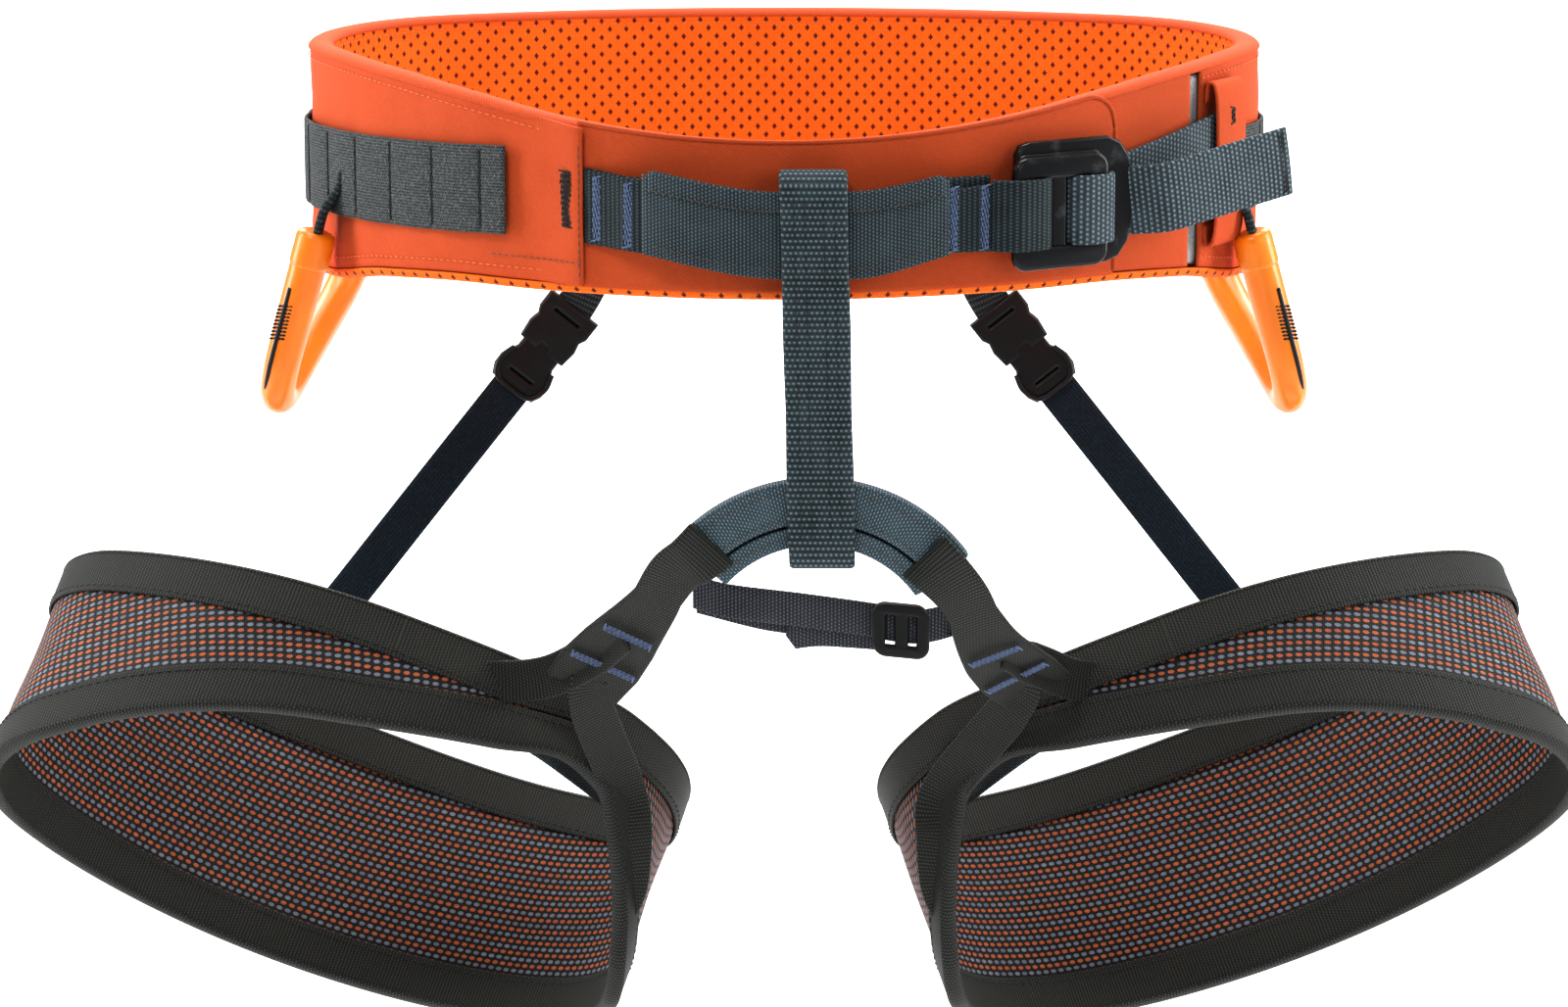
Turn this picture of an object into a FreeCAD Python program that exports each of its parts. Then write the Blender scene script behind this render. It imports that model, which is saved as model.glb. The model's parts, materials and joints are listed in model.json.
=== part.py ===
import FreeCAD, Part
import math
import os
import Sketcher

# Climbing sit harness, hung as it is worn.  +Z is up, the front faces -Y and
# the origin is the centre of the waistbelt ring.  Left is the -X side.

V = FreeCAD.Vector
FAR = 400.0

doc = FreeCAD.newDocument("SitHarness")
sheet = doc.addObject("Spreadsheet::Sheet", "Sizes")

SIZES = {
    # waistbelt plan and height
    "belt_half_width": 148.0,
    "belt_side_radius": 60.0,
    "belt_front_depth": 118.0,
    "belt_back_depth": 75.0,
    "belt_top_front": 20.0,
    "belt_top_side": 36.0,
    "belt_drop_front": 24.0,
    "belt_drop_side": 32.0,
    # belt layers
    "shell_thick": 1.2,
    "core_thick": 3.2,
    "lining_thick": 2.4,
    "layer_gap": 0.05,
    "flap_thick": 1.2,
    "strip_thick": 1.5,
    # webbing
    "web_width": 22.0,
    "web_thick": 1.8,
    "tie_in_standoff": 7.8,
    "sleeve_thick": 1.2,
    "tie_in_half": 60.0,
    "tie_in_centre": 1.0,
    "tail_width": 21.0,
    "tail_length": 56.0,
    "keeper_width": 10.0,
    "keeper_height": 49.0,
    # waist buckle
    "buckle_width": 40.0,
    "buckle_height": 36.0,
    "buckle_thick": 3.0,
    "buckle_rail": 5.0,
    "slider_width": 36.0,
    "slider_height": 31.0,
    "slider_thick": 2.6,
    "slider_rail": 4.5,
    "buckle_corner": 3.0,
    # belay loop
    "belay_width": 19.5,
    "belay_thick": 2.4,
    "belay_centre": 10.0,
    "belay_top": 3.0,
    "belay_bottom": 104.5,
    "belay_inner_gap": 7.9,
    # leg bridge and cross strap
    "bridge_radius": 54.8,
    "bridge_depth": 19.5,
    "bridge_core_thick": 3.0,
    "bridge_sleeve_thick": 1.4,
    "cross_width": 10.5,
    "cross_thick": 1.4,
    "cross_slider_width": 15.5,
    "cross_slider_height": 15.0,
    "cross_slider_thick": 3.8,
    # leg loops
    "leg_half_width": 103.0,
    "leg_side_radius": 50.0,
    "leg_half_depth": 72.0,
    "leg_top_front": 37.0,
    "leg_top_back": 52.0,
    "leg_drop": 33.0,
    "leg_panel_thick": 3.0,
    "binding_width": 13.5,
    "binding_thick": 4.4,
    "junction_width": 20.0,
    "junction_thick": 2.4,
    "link_width": 14.0,
    "leg_offset": 141.5,
    # risers
    "riser_width": 13.5,
    "riser_thick": 1.8,
    "clip_width": 17.0,
    "clip_thick": 6.0,
    "clip_socket_length": 16.0,
    "clip_plug_length": 15.0,
    "clip_clearance": 9.0,
    "clip_slot": 2.4,
    # gear loops
    "gear_span": 90.0,
    "gear_leg": 39.0,
    "gear_front_bend": 15.0,
    "gear_back_bend": 26.0,
    "gear_rise": 22.0,
    "gear_inset": 9.5,
    "gear_back_shift": 5.5,
    "gear_tube": 12.0,
    "gear_insert_width": 3.0,
    "gear_tab_width": 9.0,
    "gear_tab_height": 12.0,
    "gear_flare": 16.0,
    "gear_toe": 7.0,
}
for row, (alias, value) in enumerate(SIZES.items(), start=1):
    sheet.set(f"A{row}", alias)
    sheet.set(f"B{row}", str(value))
    sheet.setAlias(f"B{row}", alias)
doc.recompute()


def size(alias):
    return float(sheet.get(alias))


nodes = []


def node(item, label):
    item.Label = label
    nodes.append(item)
    return item


# ---------------------------------------------------------------- outlines

class Oval:
    """Closed plan outline of four tangent arcs: two sides, a front and a back."""

    def __init__(self, half_width, side_radius, front_depth, back_depth):
        self.side = side_radius
        self.centre = half_width - side_radius
        self.front = self.end_arc(front_depth)
        self.back = self.end_arc(back_depth)

    def end_arc(self, depth):
        """Distance of an end arc's centre past the middle, and its radius."""
        rise = depth - self.side
        past = (self.centre ** 2 - rise ** 2) / (2 * rise)
        return past, past + depth

    def front_point(self, x, offset):
        """Point of the front arc at x, moved outwards by offset."""
        past, radius = self.front
        y = past - math.sqrt((radius + offset) ** 2 - x ** 2)
        return V(x, y, 0)

    def joint(self, arc, sign_y, sign_x, offset):
        past, radius = arc
        reach = math.hypot(self.centre, past)
        along = (radius + offset) / reach
        return V(sign_x * self.centre * along, sign_y * (past * along - past), 0)

    def wire(self, offset):
        front_right = self.joint(self.front, -1, 1, offset)
        front_left = self.joint(self.front, -1, -1, offset)
        back_right = self.joint(self.back, 1, 1, offset)
        back_left = self.joint(self.back, 1, -1, offset)
        out = self.centre + self.side + offset
        front_y = -(self.front[1] - self.front[0]) - offset
        back_y = self.back[1] - self.back[0] + offset
        arcs = [
            Part.Arc(front_left, V(0, front_y, 0), front_right),
            Part.Arc(front_right, V(out, 0, 0), back_right),
            Part.Arc(back_right, V(0, back_y, 0), back_left),
            Part.Arc(back_left, V(-out, 0, 0), front_left),
        ]
        return Part.Wire([arc.toShape() for arc in arcs])

    def ring(self, inner, outer):
        """Upright tube between two offsets, taller than any piece made from it."""
        def filled(offset):
            face = Part.Face(self.wire(offset))
            face.translate(V(0, 0, -FAR / 2))
            return face.extrude(V(0, 0, FAR))
        return filled(outer).cut(filled(inner))


def prism(points, direction):
    """Solid of a closed outline of points, pushed out along direction."""
    outline = Part.makePolygon(points + [points[0]])
    return Part.Face(outline).extrude(direction)


def across_x(profile):
    """Side-view outline of (y, z) pairs as a prism along X."""
    return prism([V(-FAR, y, z) for y, z in profile], V(2 * FAR, 0, 0))


def towards_front(profile, y_back=0.0):
    """Front-view outline of (x, z) pairs as a prism from y_back to the front."""
    return prism([V(x, y_back, z) for x, z in profile], V(0, -FAR, 0))


def placed(item, origin, x_dir, z_dir):
    """Stand an item at origin with its own X and Z along the given directions."""
    x_axis = V(x_dir).normalize()
    z_axis = V(z_dir) - x_axis * V(z_dir).dot(x_axis)
    z_axis.normalize()
    y_axis = z_axis.cross(x_axis)
    turn = FreeCAD.Rotation(x_axis, y_axis, z_axis, "ZXY")
    item.Placement = FreeCAD.Placement(origin, turn)
    return item


def solid_node(label, shape):
    item = doc.addObject("Part::Feature", label)
    item.Shape = shape
    return node(item, label)


# ------------------------------------------------------ PartDesign plates

def origin_plane(body, role):
    return [item for item in body.Origin.OriginFeatures if item.Role == role][0]


def rectangle(body, name, width, height, centre_x="0", centre_z="0"):
    """Rectangle on the body's XZ plane, its size and centre given as expressions."""
    sketch = body.newObject("Sketcher::SketchObject", name)
    sketch.AttachmentSupport = (origin_plane(body, "XZ_Plane"), [""])
    sketch.MapMode = "FlatFace"
    corners = [V(-1, -1, 0), V(1, -1, 0), V(1, 1, 0), V(-1, 1, 0)]
    for index in range(4):
        sketch.addGeometry(Part.LineSegment(corners[index], corners[(index + 1) % 4]))
    for index in range(4):
        sketch.addConstraint(Sketcher.Constraint("Coincident", index, 2, (index + 1) % 4, 1))
    for index in (0, 2):
        sketch.addConstraint(Sketcher.Constraint("Horizontal", index))
    for index in (1, 3):
        sketch.addConstraint(Sketcher.Constraint("Vertical", index))
    across = sketch.addConstraint(Sketcher.Constraint("DistanceX", 0, 1, 0, 2, 2.0))
    upward = sketch.addConstraint(Sketcher.Constraint("DistanceY", 1, 1, 1, 2, 2.0))
    from_x = sketch.addConstraint(Sketcher.Constraint("DistanceX", -1, 1, 0, 1, -1.0))
    from_z = sketch.addConstraint(Sketcher.Constraint("DistanceY", -1, 1, 0, 1, -1.0))
    sketch.setExpression(f"Constraints[{across}]", width)
    sketch.setExpression(f"Constraints[{upward}]", height)
    sketch.setExpression(f"Constraints[{from_x}]", f"{centre_x} - ({width}) / 2")
    sketch.setExpression(f"Constraints[{from_z}]", f"{centre_z} - ({height}) / 2")
    doc.recompute()
    return sketch


def plate(label, width, height, thick, windows=(), corner=None):
    """Flat plate in the XZ plane with windows cut through and rounded corners."""
    body = doc.addObject("PartDesign::Body", label)
    pad = body.newObject("PartDesign::Pad", f"{label}_pad")
    pad.Profile = rectangle(body, f"{label}_outline", width, height)
    pad.SideType = "Symmetric"
    pad.setExpression("Length", thick)
    doc.recompute()
    for index, (w, h, x, z) in enumerate(windows):
        before = body.Shape.Volume
        hole = rectangle(body, f"{label}_window_{index}", w, h, x, z)
        pocket = body.newObject("PartDesign::Pocket", f"{label}_cut_{index}")
        pocket.Profile = hole
        pocket.SideType = "Symmetric"
        pocket.Type = "ThroughAll"
        doc.recompute()
        if body.Shape.Volume >= before:
            raise RuntimeError(f"{label}: window {index} cut nothing")
    if corner:
        tip = body.Tip
        edges = []
        for index, edge in enumerate(tip.Shape.Edges, start=1):
            run = edge.Vertexes[-1].Point - edge.Vertexes[0].Point
            if abs(run.x) + abs(run.z) < 1e-6:
                middle = edge.Vertexes[0].Point
                box = tip.Shape.BoundBox
                at_side = min(abs(middle.x - box.XMin), abs(middle.x - box.XMax)) < 1e-6
                if at_side:
                    edges.append(f"Edge{index}")
        fillet = body.newObject("PartDesign::Fillet", f"{label}_corners")
        fillet.Base = (tip, edges)
        fillet.setExpression("Radius", corner)
        doc.recompute()
    return node(body, label)


def strap(label, start, end, width, thick, facing):
    """Straight flat strap from start to end whose broad face looks along facing."""
    run = end - start
    down = V(run).normalize()
    across = down.cross(V(facing)).normalize()
    item = doc.addObject("Part::Box", label)
    item.setExpression("Length", f"Sizes.{width}")
    item.setExpression("Width", f"Sizes.{thick}")
    item.Height = run.Length
    doc.recompute()
    through = down.cross(across)
    corner = start - across * (size(width) / 2) - through * (size(thick) / 2)
    placed(item, corner, across, down)
    return node(item, label)


# -------------------------------------------------------------- waistbelt

belt = Oval(size("belt_half_width"), size("belt_side_radius"),
            size("belt_front_depth"), size("belt_back_depth"))
front = -size("belt_front_depth")
top_front = size("belt_top_front")
top_side = size("belt_top_side")
bottom_front = -size("belt_drop_front")
bottom_side = -size("belt_drop_side")
gap = size("layer_gap")

BELT_TOP_RISE = 0.62
belt_profile = [
    (front - FAR / 10, top_front - 2), (front, top_front),
    (front * 0.85, top_front + BELT_TOP_RISE * (top_side - top_front)),
    (front * 0.42, top_side), (FAR, top_side + 2),
    (FAR, bottom_side - 1), (front * 0.3, bottom_side), (front * 0.75, bottom_front - 1),
    (front - FAR / 10, bottom_front),
]
belt_height = across_x(belt_profile)

shell_in = -size("shell_thick")
core_out = shell_in - gap
core_in = core_out - size("core_thick")
lining_out = core_in - gap
lining_in = lining_out - size("lining_thick")

SHELL_END = 0.83
SHELL_SLIT = 3.0
LEFT_MOUTH = -0.41
FLAP_END = 0.665
half_width = size("belt_half_width")
flap_left = LEFT_MOUTH * half_width
flap_right = FLAP_END * half_width
slit_left = SHELL_END * half_width
slit = towards_front([(slit_left, -FAR), (slit_left + SHELL_SLIT, -FAR),
                      (slit_left + SHELL_SLIT, FAR), (slit_left, FAR)])

solid_node("waist_lining", belt.ring(lining_in, lining_out).common(belt_height))
solid_node("waist_core", belt.ring(core_in, core_out).common(belt_height))
solid_node("waist_shell", belt.ring(shell_in, 0).common(belt_height).cut(slit))

flap_out = gap + size("flap_thick")
FLAP_CORNER = 8.0
flap_shape = [
    (flap_left, -FAR), (flap_right, -FAR), (flap_right, top_front - FLAP_CORNER + 6),
    (flap_right - FLAP_CORNER, FAR), (flap_left, FAR),
]
flap = belt.ring(gap, flap_out).common(belt_height).common(towards_front(flap_shape))
solid_node("front_flap", flap)

strip_out = flap_out + size("strip_thick")
STRIP_INNER = 0.55
strip_inner = -STRIP_INNER * half_width
strip_height = size("web_width") + 5
strip_low = bottom_front + 14.0
STRIP_FALL = 6.0
STRIP_BACK = 40.0


def gear_strip(label, sign, inner, reach_back):
    outline = [
        (sign * inner, strip_low), (sign * FAR / 2, strip_low - STRIP_FALL),
        (sign * FAR / 2, strip_low - STRIP_FALL + strip_height),
        (sign * inner, strip_low + strip_height),
    ]
    body = towards_front(outline, reach_back)
    solid_node(label, belt.ring(gap, gap + size("strip_thick")).common(body))


gear_strip("gear_strip_left", -1, -strip_inner, STRIP_BACK)
gear_strip("gear_strip_right", 1, half_width * 0.935, STRIP_BACK)

# ------------------------------------------------- tie-in webbing and sleeve

web_in = size("tie_in_standoff")
web_out = web_in + size("web_thick")
tie_half = size("tie_in_half")
tie_centre = size("tie_in_centre")
web_high = size("web_width") / 2 - 0.5
web_low = -size("web_width") / 2 - 0.5
tie_left = tie_centre - tie_half
tie_right = tie_centre + tie_half


def front_band(label, inner, outer, outline):
    solid_node(label, belt.ring(inner, outer).common(towards_front(outline)))


def level(x_from, x_to, low, high):
    return [(x_from, low), (x_to, low), (x_to, high), (x_from, high)]


FOLD = 13.0
SLEEVE_SAG = 6.5
sleeve_half = tie_half - FOLD - 5
sleeve_in = web_out + gap
sleeve_out = sleeve_in + size("sleeve_thick")
front_band("tie_in_webbing", web_in, web_out, level(tie_left, tie_right, web_low, web_high))
front_band("webbing_fold_left", flap_out + gap, web_in - gap,
           level(tie_left, tie_left + FOLD, web_low, web_high))
front_band("webbing_fold_right", flap_out + gap, web_in - gap,
           level(tie_right - FOLD, tie_right, web_low, web_high))
sleeve_left = tie_centre - sleeve_half
sleeve_right = tie_centre + sleeve_half
belay_x = size("belay_centre")
front_band("tie_in_sleeve", sleeve_in, sleeve_out, [
    (sleeve_left, web_low - 1.5), (belay_x, web_low - SLEEVE_SAG),
    (sleeve_right, web_low - 1.5), (sleeve_right, web_high + 1),
    (belay_x, web_high - SLEEVE_SAG), (sleeve_left, web_high + 1),
])

# ------------------------------------------------------------ waist buckle

BUCKLE_AT = 0.55
BUCKLE_LIFT = 5.2
SLIDER_SHIFT = 5.0
buckle_x = BUCKLE_AT * half_width
buckle_turn = math.asin(buckle_x / belt.front[1])
tangent = V(math.cos(buckle_turn), math.sin(buckle_turn), 0)
outward = V(math.sin(buckle_turn), -math.cos(buckle_turn), 0)
buckle_seat = belt.front_point(buckle_x, 0) + outward * BUCKLE_LIFT
up = V(0, 0, 1)

rail = "Sizes.buckle_rail"
opening = f"(Sizes.buckle_width - 3 * {rail}) / 2"
frame_windows = [
    (opening, f"Sizes.buckle_height - 2 * {rail}", f"-({opening} + {rail}) / 2", "0"),
    (opening, f"Sizes.buckle_height - 2 * {rail}", f"({opening} + {rail}) / 2", "0"),
]
buckle = plate("buckle_frame", "Sizes.buckle_width", "Sizes.buckle_height",
               "Sizes.buckle_thick", frame_windows, "Sizes.buckle_corner")
placed(buckle, buckle_seat, tangent, up)

BUCKLE_STEP = 0.9
slider_lift = size("buckle_thick") / 2 + BUCKLE_STEP + size("slider_thick") / 2
slider_window = [("Sizes.slider_width - 2 * Sizes.slider_rail",
                  "Sizes.slider_height - 2 * Sizes.slider_rail", "0", "0")]
slider = plate("buckle_slider", "Sizes.slider_width", "Sizes.slider_height",
               "Sizes.slider_thick", slider_window, "Sizes.buckle_corner")
slider_seat = buckle_seat + outward * slider_lift - tangent * SLIDER_SHIFT
placed(slider, slider_seat, tangent, up)

TURN_WALL = 1.6
TURN_CLEAR = 0.3
turn_inside = size("buckle_rail") / 2 + TURN_CLEAR
turn_deep = size("buckle_thick") / 2 + TURN_CLEAR
turn_tall = size("slider_height") - 2 * size("slider_rail") - 2


def webbing_turn():
    """Webbing that goes round the frame's middle bar."""
    outer = Part.makeBox(2 * turn_inside + TURN_WALL, 2 * (turn_deep + TURN_WALL), turn_tall)
    outer.translate(V(-turn_inside - TURN_WALL, -turn_deep - TURN_WALL, -turn_tall / 2))
    inner = Part.makeBox(2 * turn_inside, 2 * turn_deep, turn_tall)
    inner.translate(V(-turn_inside, -turn_deep, -turn_tall / 2))
    return outer.cut(inner)


turn = solid_node("buckle_webbing_turn", webbing_turn())
placed(turn, buckle_seat, tangent, up)

# ----------------------------------------------- strand, keeper and free tail

strand_in = flap_out + 0.4
strand_out = strand_in + size("web_thick")
STRAND_START = buckle_x + 0.62 * size("buckle_width")
strand_end = slit_left + SHELL_SLIT + size("keeper_width")
STRAND_RISE = 9.0
front_band("waist_webbing_strand", strand_in, strand_out, [
    (STRAND_START, web_low - 1), (strand_end, web_low + STRAND_RISE),
    (strand_end, web_high + STRAND_RISE), (STRAND_START, web_high + 1),
])
keeper_left = slit_left + SHELL_SLIT + 1
keeper_right = keeper_left + size("keeper_width")
KEEPER_WALL = 1.1
keeper_low = web_low - 8.5
keeper_out = strand_out + 0.2 + KEEPER_WALL
keeper_block = belt.ring(gap, keeper_out).common(
    towards_front(level(keeper_left, keeper_right, keeper_low,
                        keeper_low + size("keeper_height"))))
keeper_channel = belt.ring(strand_in - 0.2, strand_out + 0.2).common(
    towards_front(level(keeper_left - 1, keeper_right + 1, web_low - 2,
                        web_high + STRAND_RISE + 3)))
solid_node("tail_keeper", keeper_block.cut(keeper_channel))

TAIL_HEADING = 33.0
TAIL_LIFT = 6.3
heading = math.radians(TAIL_HEADING)
tail_dir = V(math.cos(heading), math.sin(heading), 0.16).normalize()
tail_start = buckle_seat + tangent * (size("buckle_width") / 2 + 1.5) + outward * TAIL_LIFT
tail_start.z = -1.5
tail_end = tail_start + tail_dir * size("tail_length")
tail_face = tail_dir.cross(up)
strap("webbing_tail", tail_start, tail_end, "tail_width", "web_thick", tail_face)

# -------------------------------------------------------------- belay loop

LOOP_BEHIND = 0.4
back_strand = front - flap_out - LOOP_BEHIND
loop_inner_back = back_strand - size("belay_thick")
loop_inner_front = loop_inner_back - size("belay_inner_gap")
loop_front = loop_inner_front - size("belay_thick")
loop_bottom = -size("belay_bottom")


def racetrack(y_back, y_front, low, high, width):
    """Upright loop section in the YZ plane with round ends, given a width in X."""
    radius = (y_back - y_front) / 2
    middle = (y_back + y_front) / 2
    side_x = belay_x - width / 2
    bar = Part.makeBox(width, 2 * radius, high - low - 2 * radius)
    bar.translate(V(side_x, y_front, low + radius))
    ends = [Part.makeCylinder(radius, width, V(side_x, middle, z), V(1, 0, 0))
            for z in (low + radius, high - radius)]
    return bar.fuse(ends).removeSplitter()


wall = size("belay_thick")
loop_top = web_high + size("belay_top")
belay_width = size("belay_width")
loop_solid = racetrack(back_strand, loop_front, loop_bottom, loop_top, belay_width).cut(
    racetrack(loop_inner_back, loop_inner_front, loop_bottom + wall, loop_top - wall,
              belay_width))
solid_node("belay_loop", loop_solid)

# --------------------------------------------------- bridge and cross strap

bridge_r = size("bridge_radius")
bridge_depth = size("bridge_depth")
BRIDGE_CLEAR = 4.5
bridge_mid_y = (loop_inner_back + loop_inner_front) / 2
bridge_top = loop_bottom + wall + BRIDGE_CLEAR + bridge_depth
bridge_centre = V(belay_x - 0.5, bridge_mid_y, bridge_top - bridge_r)
BRIDGE_LEFT = 140.0
BRIDGE_RIGHT = 33.0


def arch(y_from, y_to, inner_radius, outer_radius, start, end):
    """Part of a flat ring in the XZ plane between two angles in degrees."""
    centre = V(bridge_centre.x, y_from, bridge_centre.z)
    thick = y_to - y_from
    outer = Part.makeCylinder(outer_radius, thick, centre, V(0, 1, 0))
    inner = Part.makeCylinder(inner_radius, thick, centre, V(0, 1, 0))
    reach = 2 * outer_radius
    fan = [centre]
    for angle in (start, (start + end) / 2, end):
        turn_by = math.radians(angle)
        fan.append(centre + V(math.cos(turn_by), 0, math.sin(turn_by)) * reach)
    return outer.cut(inner).common(prism(fan, V(0, thick, 0)))


core_half = size("bridge_core_thick") / 2
sleeve = size("bridge_sleeve_thick")
TRIM = 1.5
solid_node("bridge_webbing", arch(bridge_mid_y - core_half, bridge_mid_y + core_half,
                                  bridge_r - bridge_depth + TRIM, bridge_r - TRIM,
                                  BRIDGE_RIGHT, BRIDGE_LEFT))
sleeve_front_y = bridge_mid_y - core_half - gap
sleeve_back_y = bridge_mid_y + core_half + gap
solid_node("bridge_sleeve_front", arch(sleeve_front_y - sleeve, sleeve_front_y,
                                       bridge_r - bridge_depth, bridge_r,
                                       BRIDGE_RIGHT + 1, BRIDGE_LEFT - 1))
solid_node("bridge_sleeve_back", arch(sleeve_back_y, sleeve_back_y + sleeve,
                                      bridge_r - bridge_depth, bridge_r,
                                      BRIDGE_RIGHT + 1, BRIDGE_LEFT - 1))


def bridge_end(angle):
    turn_by = math.radians(angle)
    reach = bridge_r - bridge_depth / 2
    return bridge_centre + V(math.cos(turn_by), 0, math.sin(turn_by)) * reach


CROSS_BACK = 5.4
cross_y = loop_inner_back + CROSS_BACK
cross_left = V(-16.0, cross_y, -116.5)
slider_at = V(34.6, cross_y, -125.0)
cross_right = V(44.5, cross_y, -126.0)
face_front = V(0, -1, 0)
strap("cross_strap", cross_left, slider_at - V(7.0, 0, -0.7), "cross_width", "cross_thick",
      face_front)
strap("cross_strap_end", slider_at + V(1.0, 0, 0), cross_right, "cross_width", "cross_thick",
      face_front)
TAIL_BEHIND = 4.2
strap("cross_strap_tail", V(2.0, cross_y + TAIL_BEHIND, -127.0),
      V(27.0, cross_y + TAIL_BEHIND, -127.5), "cross_width", "cross_thick", face_front)
cross_opening = "(Sizes.cross_slider_width - 7.5) / 2"
cross_tall = "Sizes.cross_slider_height - 4"
cross_slider = plate("cross_strap_slider", "Sizes.cross_slider_width",
                     "Sizes.cross_slider_height", "Sizes.cross_slider_thick",
                     [(cross_opening, cross_tall, f"-({cross_opening} + 2.5) / 2", "0"),
                      (cross_opening, cross_tall, f"({cross_opening} + 2.5) / 2", "0")],
                     "Sizes.buckle_corner / 2")
SLIDER_FORWARD = 3.0
placed(cross_slider, slider_at - V(0, SLIDER_FORWARD, 0), V(1, 0, -0.1), up)

# ---------------------------------------------------------------- leg loops

leg_oval = Oval(size("leg_half_width"), size("leg_side_radius"),
                size("leg_half_depth"), size("leg_half_depth"))
LEG_TILT_OUT = 21.5
LEG_TILT_BACK = -35.0
leg_centre = V(-size("leg_offset"), -38.0, -199.0)
leg_turn = (FreeCAD.Rotation(V(0, 1, 0), LEG_TILT_OUT)
            .multiply(FreeCAD.Rotation(V(1, 0, 0), LEG_TILT_BACK)))
leg_place = FreeCAD.Placement(leg_centre, leg_turn)

leg_drop = size("leg_drop")
leg_w = size("leg_half_width")
FRONT_RISE = [(-1.0, 2.0), (-0.58, 20.0), (0.0, 35.0), (0.5, 51.0), (0.75, 55.0),
              (0.93, 35.0), (1.0, 10.0)]


def under_front(raise_by):
    """What the front of the leg loop leaves open under its rising lower edge."""
    edge = [(share * leg_w, rise - leg_drop + raise_by) for share, rise in FRONT_RISE]
    outline = [(-1.2 * leg_w, -FAR), (-1.2 * leg_w, edge[0][1])] + edge
    outline += [(1.2 * leg_w, edge[-1][1]), (1.2 * leg_w, -FAR)]
    return towards_front(outline)


def leg_region(from_bottom, from_top):
    """Heights between the lower edge raised and the upper edge lowered by the given sizes."""
    profile = [
        (-FAR, size("leg_top_front") - from_top), (0, size("leg_top_front") - from_top),
        (size("leg_half_depth"), size("leg_top_back") - from_top),
        (FAR, size("leg_top_back") - from_top),
        (FAR, -leg_drop + from_bottom), (-FAR, -leg_drop + from_bottom),
    ]
    return across_x(profile).cut(under_front(from_bottom))


binding = size("binding_width")
binding_half = size("binding_thick") / 2
panel_half = size("leg_panel_thick") / 2
binding_ring = leg_oval.ring(-binding_half, binding_half)
top_binding = binding_ring.common(leg_region(0, 0)).cut(leg_region(0, binding).common(
    binding_ring))
bottom_binding = binding_ring.common(leg_region(0, binding + gap)).cut(
    leg_region(binding, 0).common(binding_ring))
panel = leg_oval.ring(-panel_half, panel_half).common(
    leg_region(binding + gap, binding + gap))
label_patch = leg_oval.ring(panel_half + gap, panel_half + 0.6).common(
    across_x([(-28, -8), (6, -8), (6, 20), (-28, 20)])).common(
    Part.makeBox(FAR, FAR, FAR, V(-FAR, -FAR / 2, -FAR / 2)))


def leg_point(x, y, z):
    return leg_place.multVec(V(x, y, z))


def mirrored(point, side):
    return V(-side * point.x, point.y, point.z)


JUNCTION_LOW = leg_point(50.0, -71.5, 30.0)
LINK_FROM = leg_point(48.0, -48.0, 24.0)
LINK_TO = leg_point(86.0, 14.0, 36.0)
JUNCTION_BEHIND = 3.4
TAB_X = 64.0
TAB_BELOW = 1.6
TAB_LENGTH = 20.0
tab_y = size("belt_back_depth") + lining_in - 2.5
RISER_END = leg_point(-30.0, 72.0, 56.0)


def riser(side, name):
    """Belt tab, two-part clip and elastic strap of one rear riser."""
    top = V(side * TAB_X, tab_y, bottom_side - TAB_BELOW)
    bottom = top - V(0, 0, TAB_LENGTH)
    strap(f"riser_tab_{name}", top, bottom, "riser_width", "riser_thick", face_front)
    end = mirrored(RISER_END, side)
    pivot = V(bottom)
    along = V(end - pivot).normalize()
    facing = (face_front - along * face_front.dot(along)).normalize()
    across = along.cross(facing)
    if across.x < 0:
        across = across * -1
    socket_length = size("clip_socket_length")
    plug_length = size("clip_plug_length")
    socket_mid = pivot + along * (size("clip_clearance") + socket_length / 2)
    plug_mid = socket_mid + along * (socket_length / 2 + gap + plug_length / 2)
    slot = [("Sizes.clip_width - 5", "Sizes.clip_slot", "0",
             "Sizes.clip_socket_length / 2 - 3.5")]
    socket = plate(f"clip_socket_{name}", "Sizes.clip_width", "Sizes.clip_socket_length",
                   "Sizes.clip_thick", slot, "Sizes.buckle_corner * 0.7")
    placed(socket, socket_mid, across, along * -1)
    slot = [("Sizes.clip_width - 5", "Sizes.clip_slot", "0",
             "3.5 - Sizes.clip_plug_length / 2")]
    plug = plate(f"clip_plug_{name}", "Sizes.clip_width - 2", "Sizes.clip_plug_length",
                 "Sizes.clip_thick - 1", slot, "Sizes.buckle_corner * 0.7")
    placed(plug, plug_mid, across, along * -1)
    start = plug_mid + along * (plug_length / 2 + gap)
    strap(f"riser_elastic_{name}", start, end, "riser_width", "riser_thick", facing)


def leg_loop(side, name):
    """Mesh panel, edge bindings, junction webbing and thigh link of one leg loop."""
    for label, shape in (("leg_panel", panel), ("leg_top_binding", top_binding),
                         ("leg_bottom_binding", bottom_binding)):
        stood = shape.copy()
        stood.Placement = leg_place
        if side > 0:
            stood = stood.mirror(V(0, 0, 0), V(1, 0, 0))
        solid_node(f"{label}_{name}", stood)
    attach = bridge_end(BRIDGE_LEFT if side < 0 else BRIDGE_RIGHT)
    attach = attach + V(0, core_half + sleeve + gap + JUNCTION_BEHIND, 0)
    low = mirrored(JUNCTION_LOW, side)
    strap(f"leg_junction_{name}", attach, low, "junction_width", "junction_thick", face_front)
    link_from = mirrored(LINK_FROM, side)
    link_to = mirrored(LINK_TO, side)
    strap(f"thigh_link_{name}", link_from, link_to, "link_width", "junction_thick", up)


for side, name in ((-1, "left"), (1, "right")):
    leg_loop(side, name)
    riser(side, name)

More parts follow.
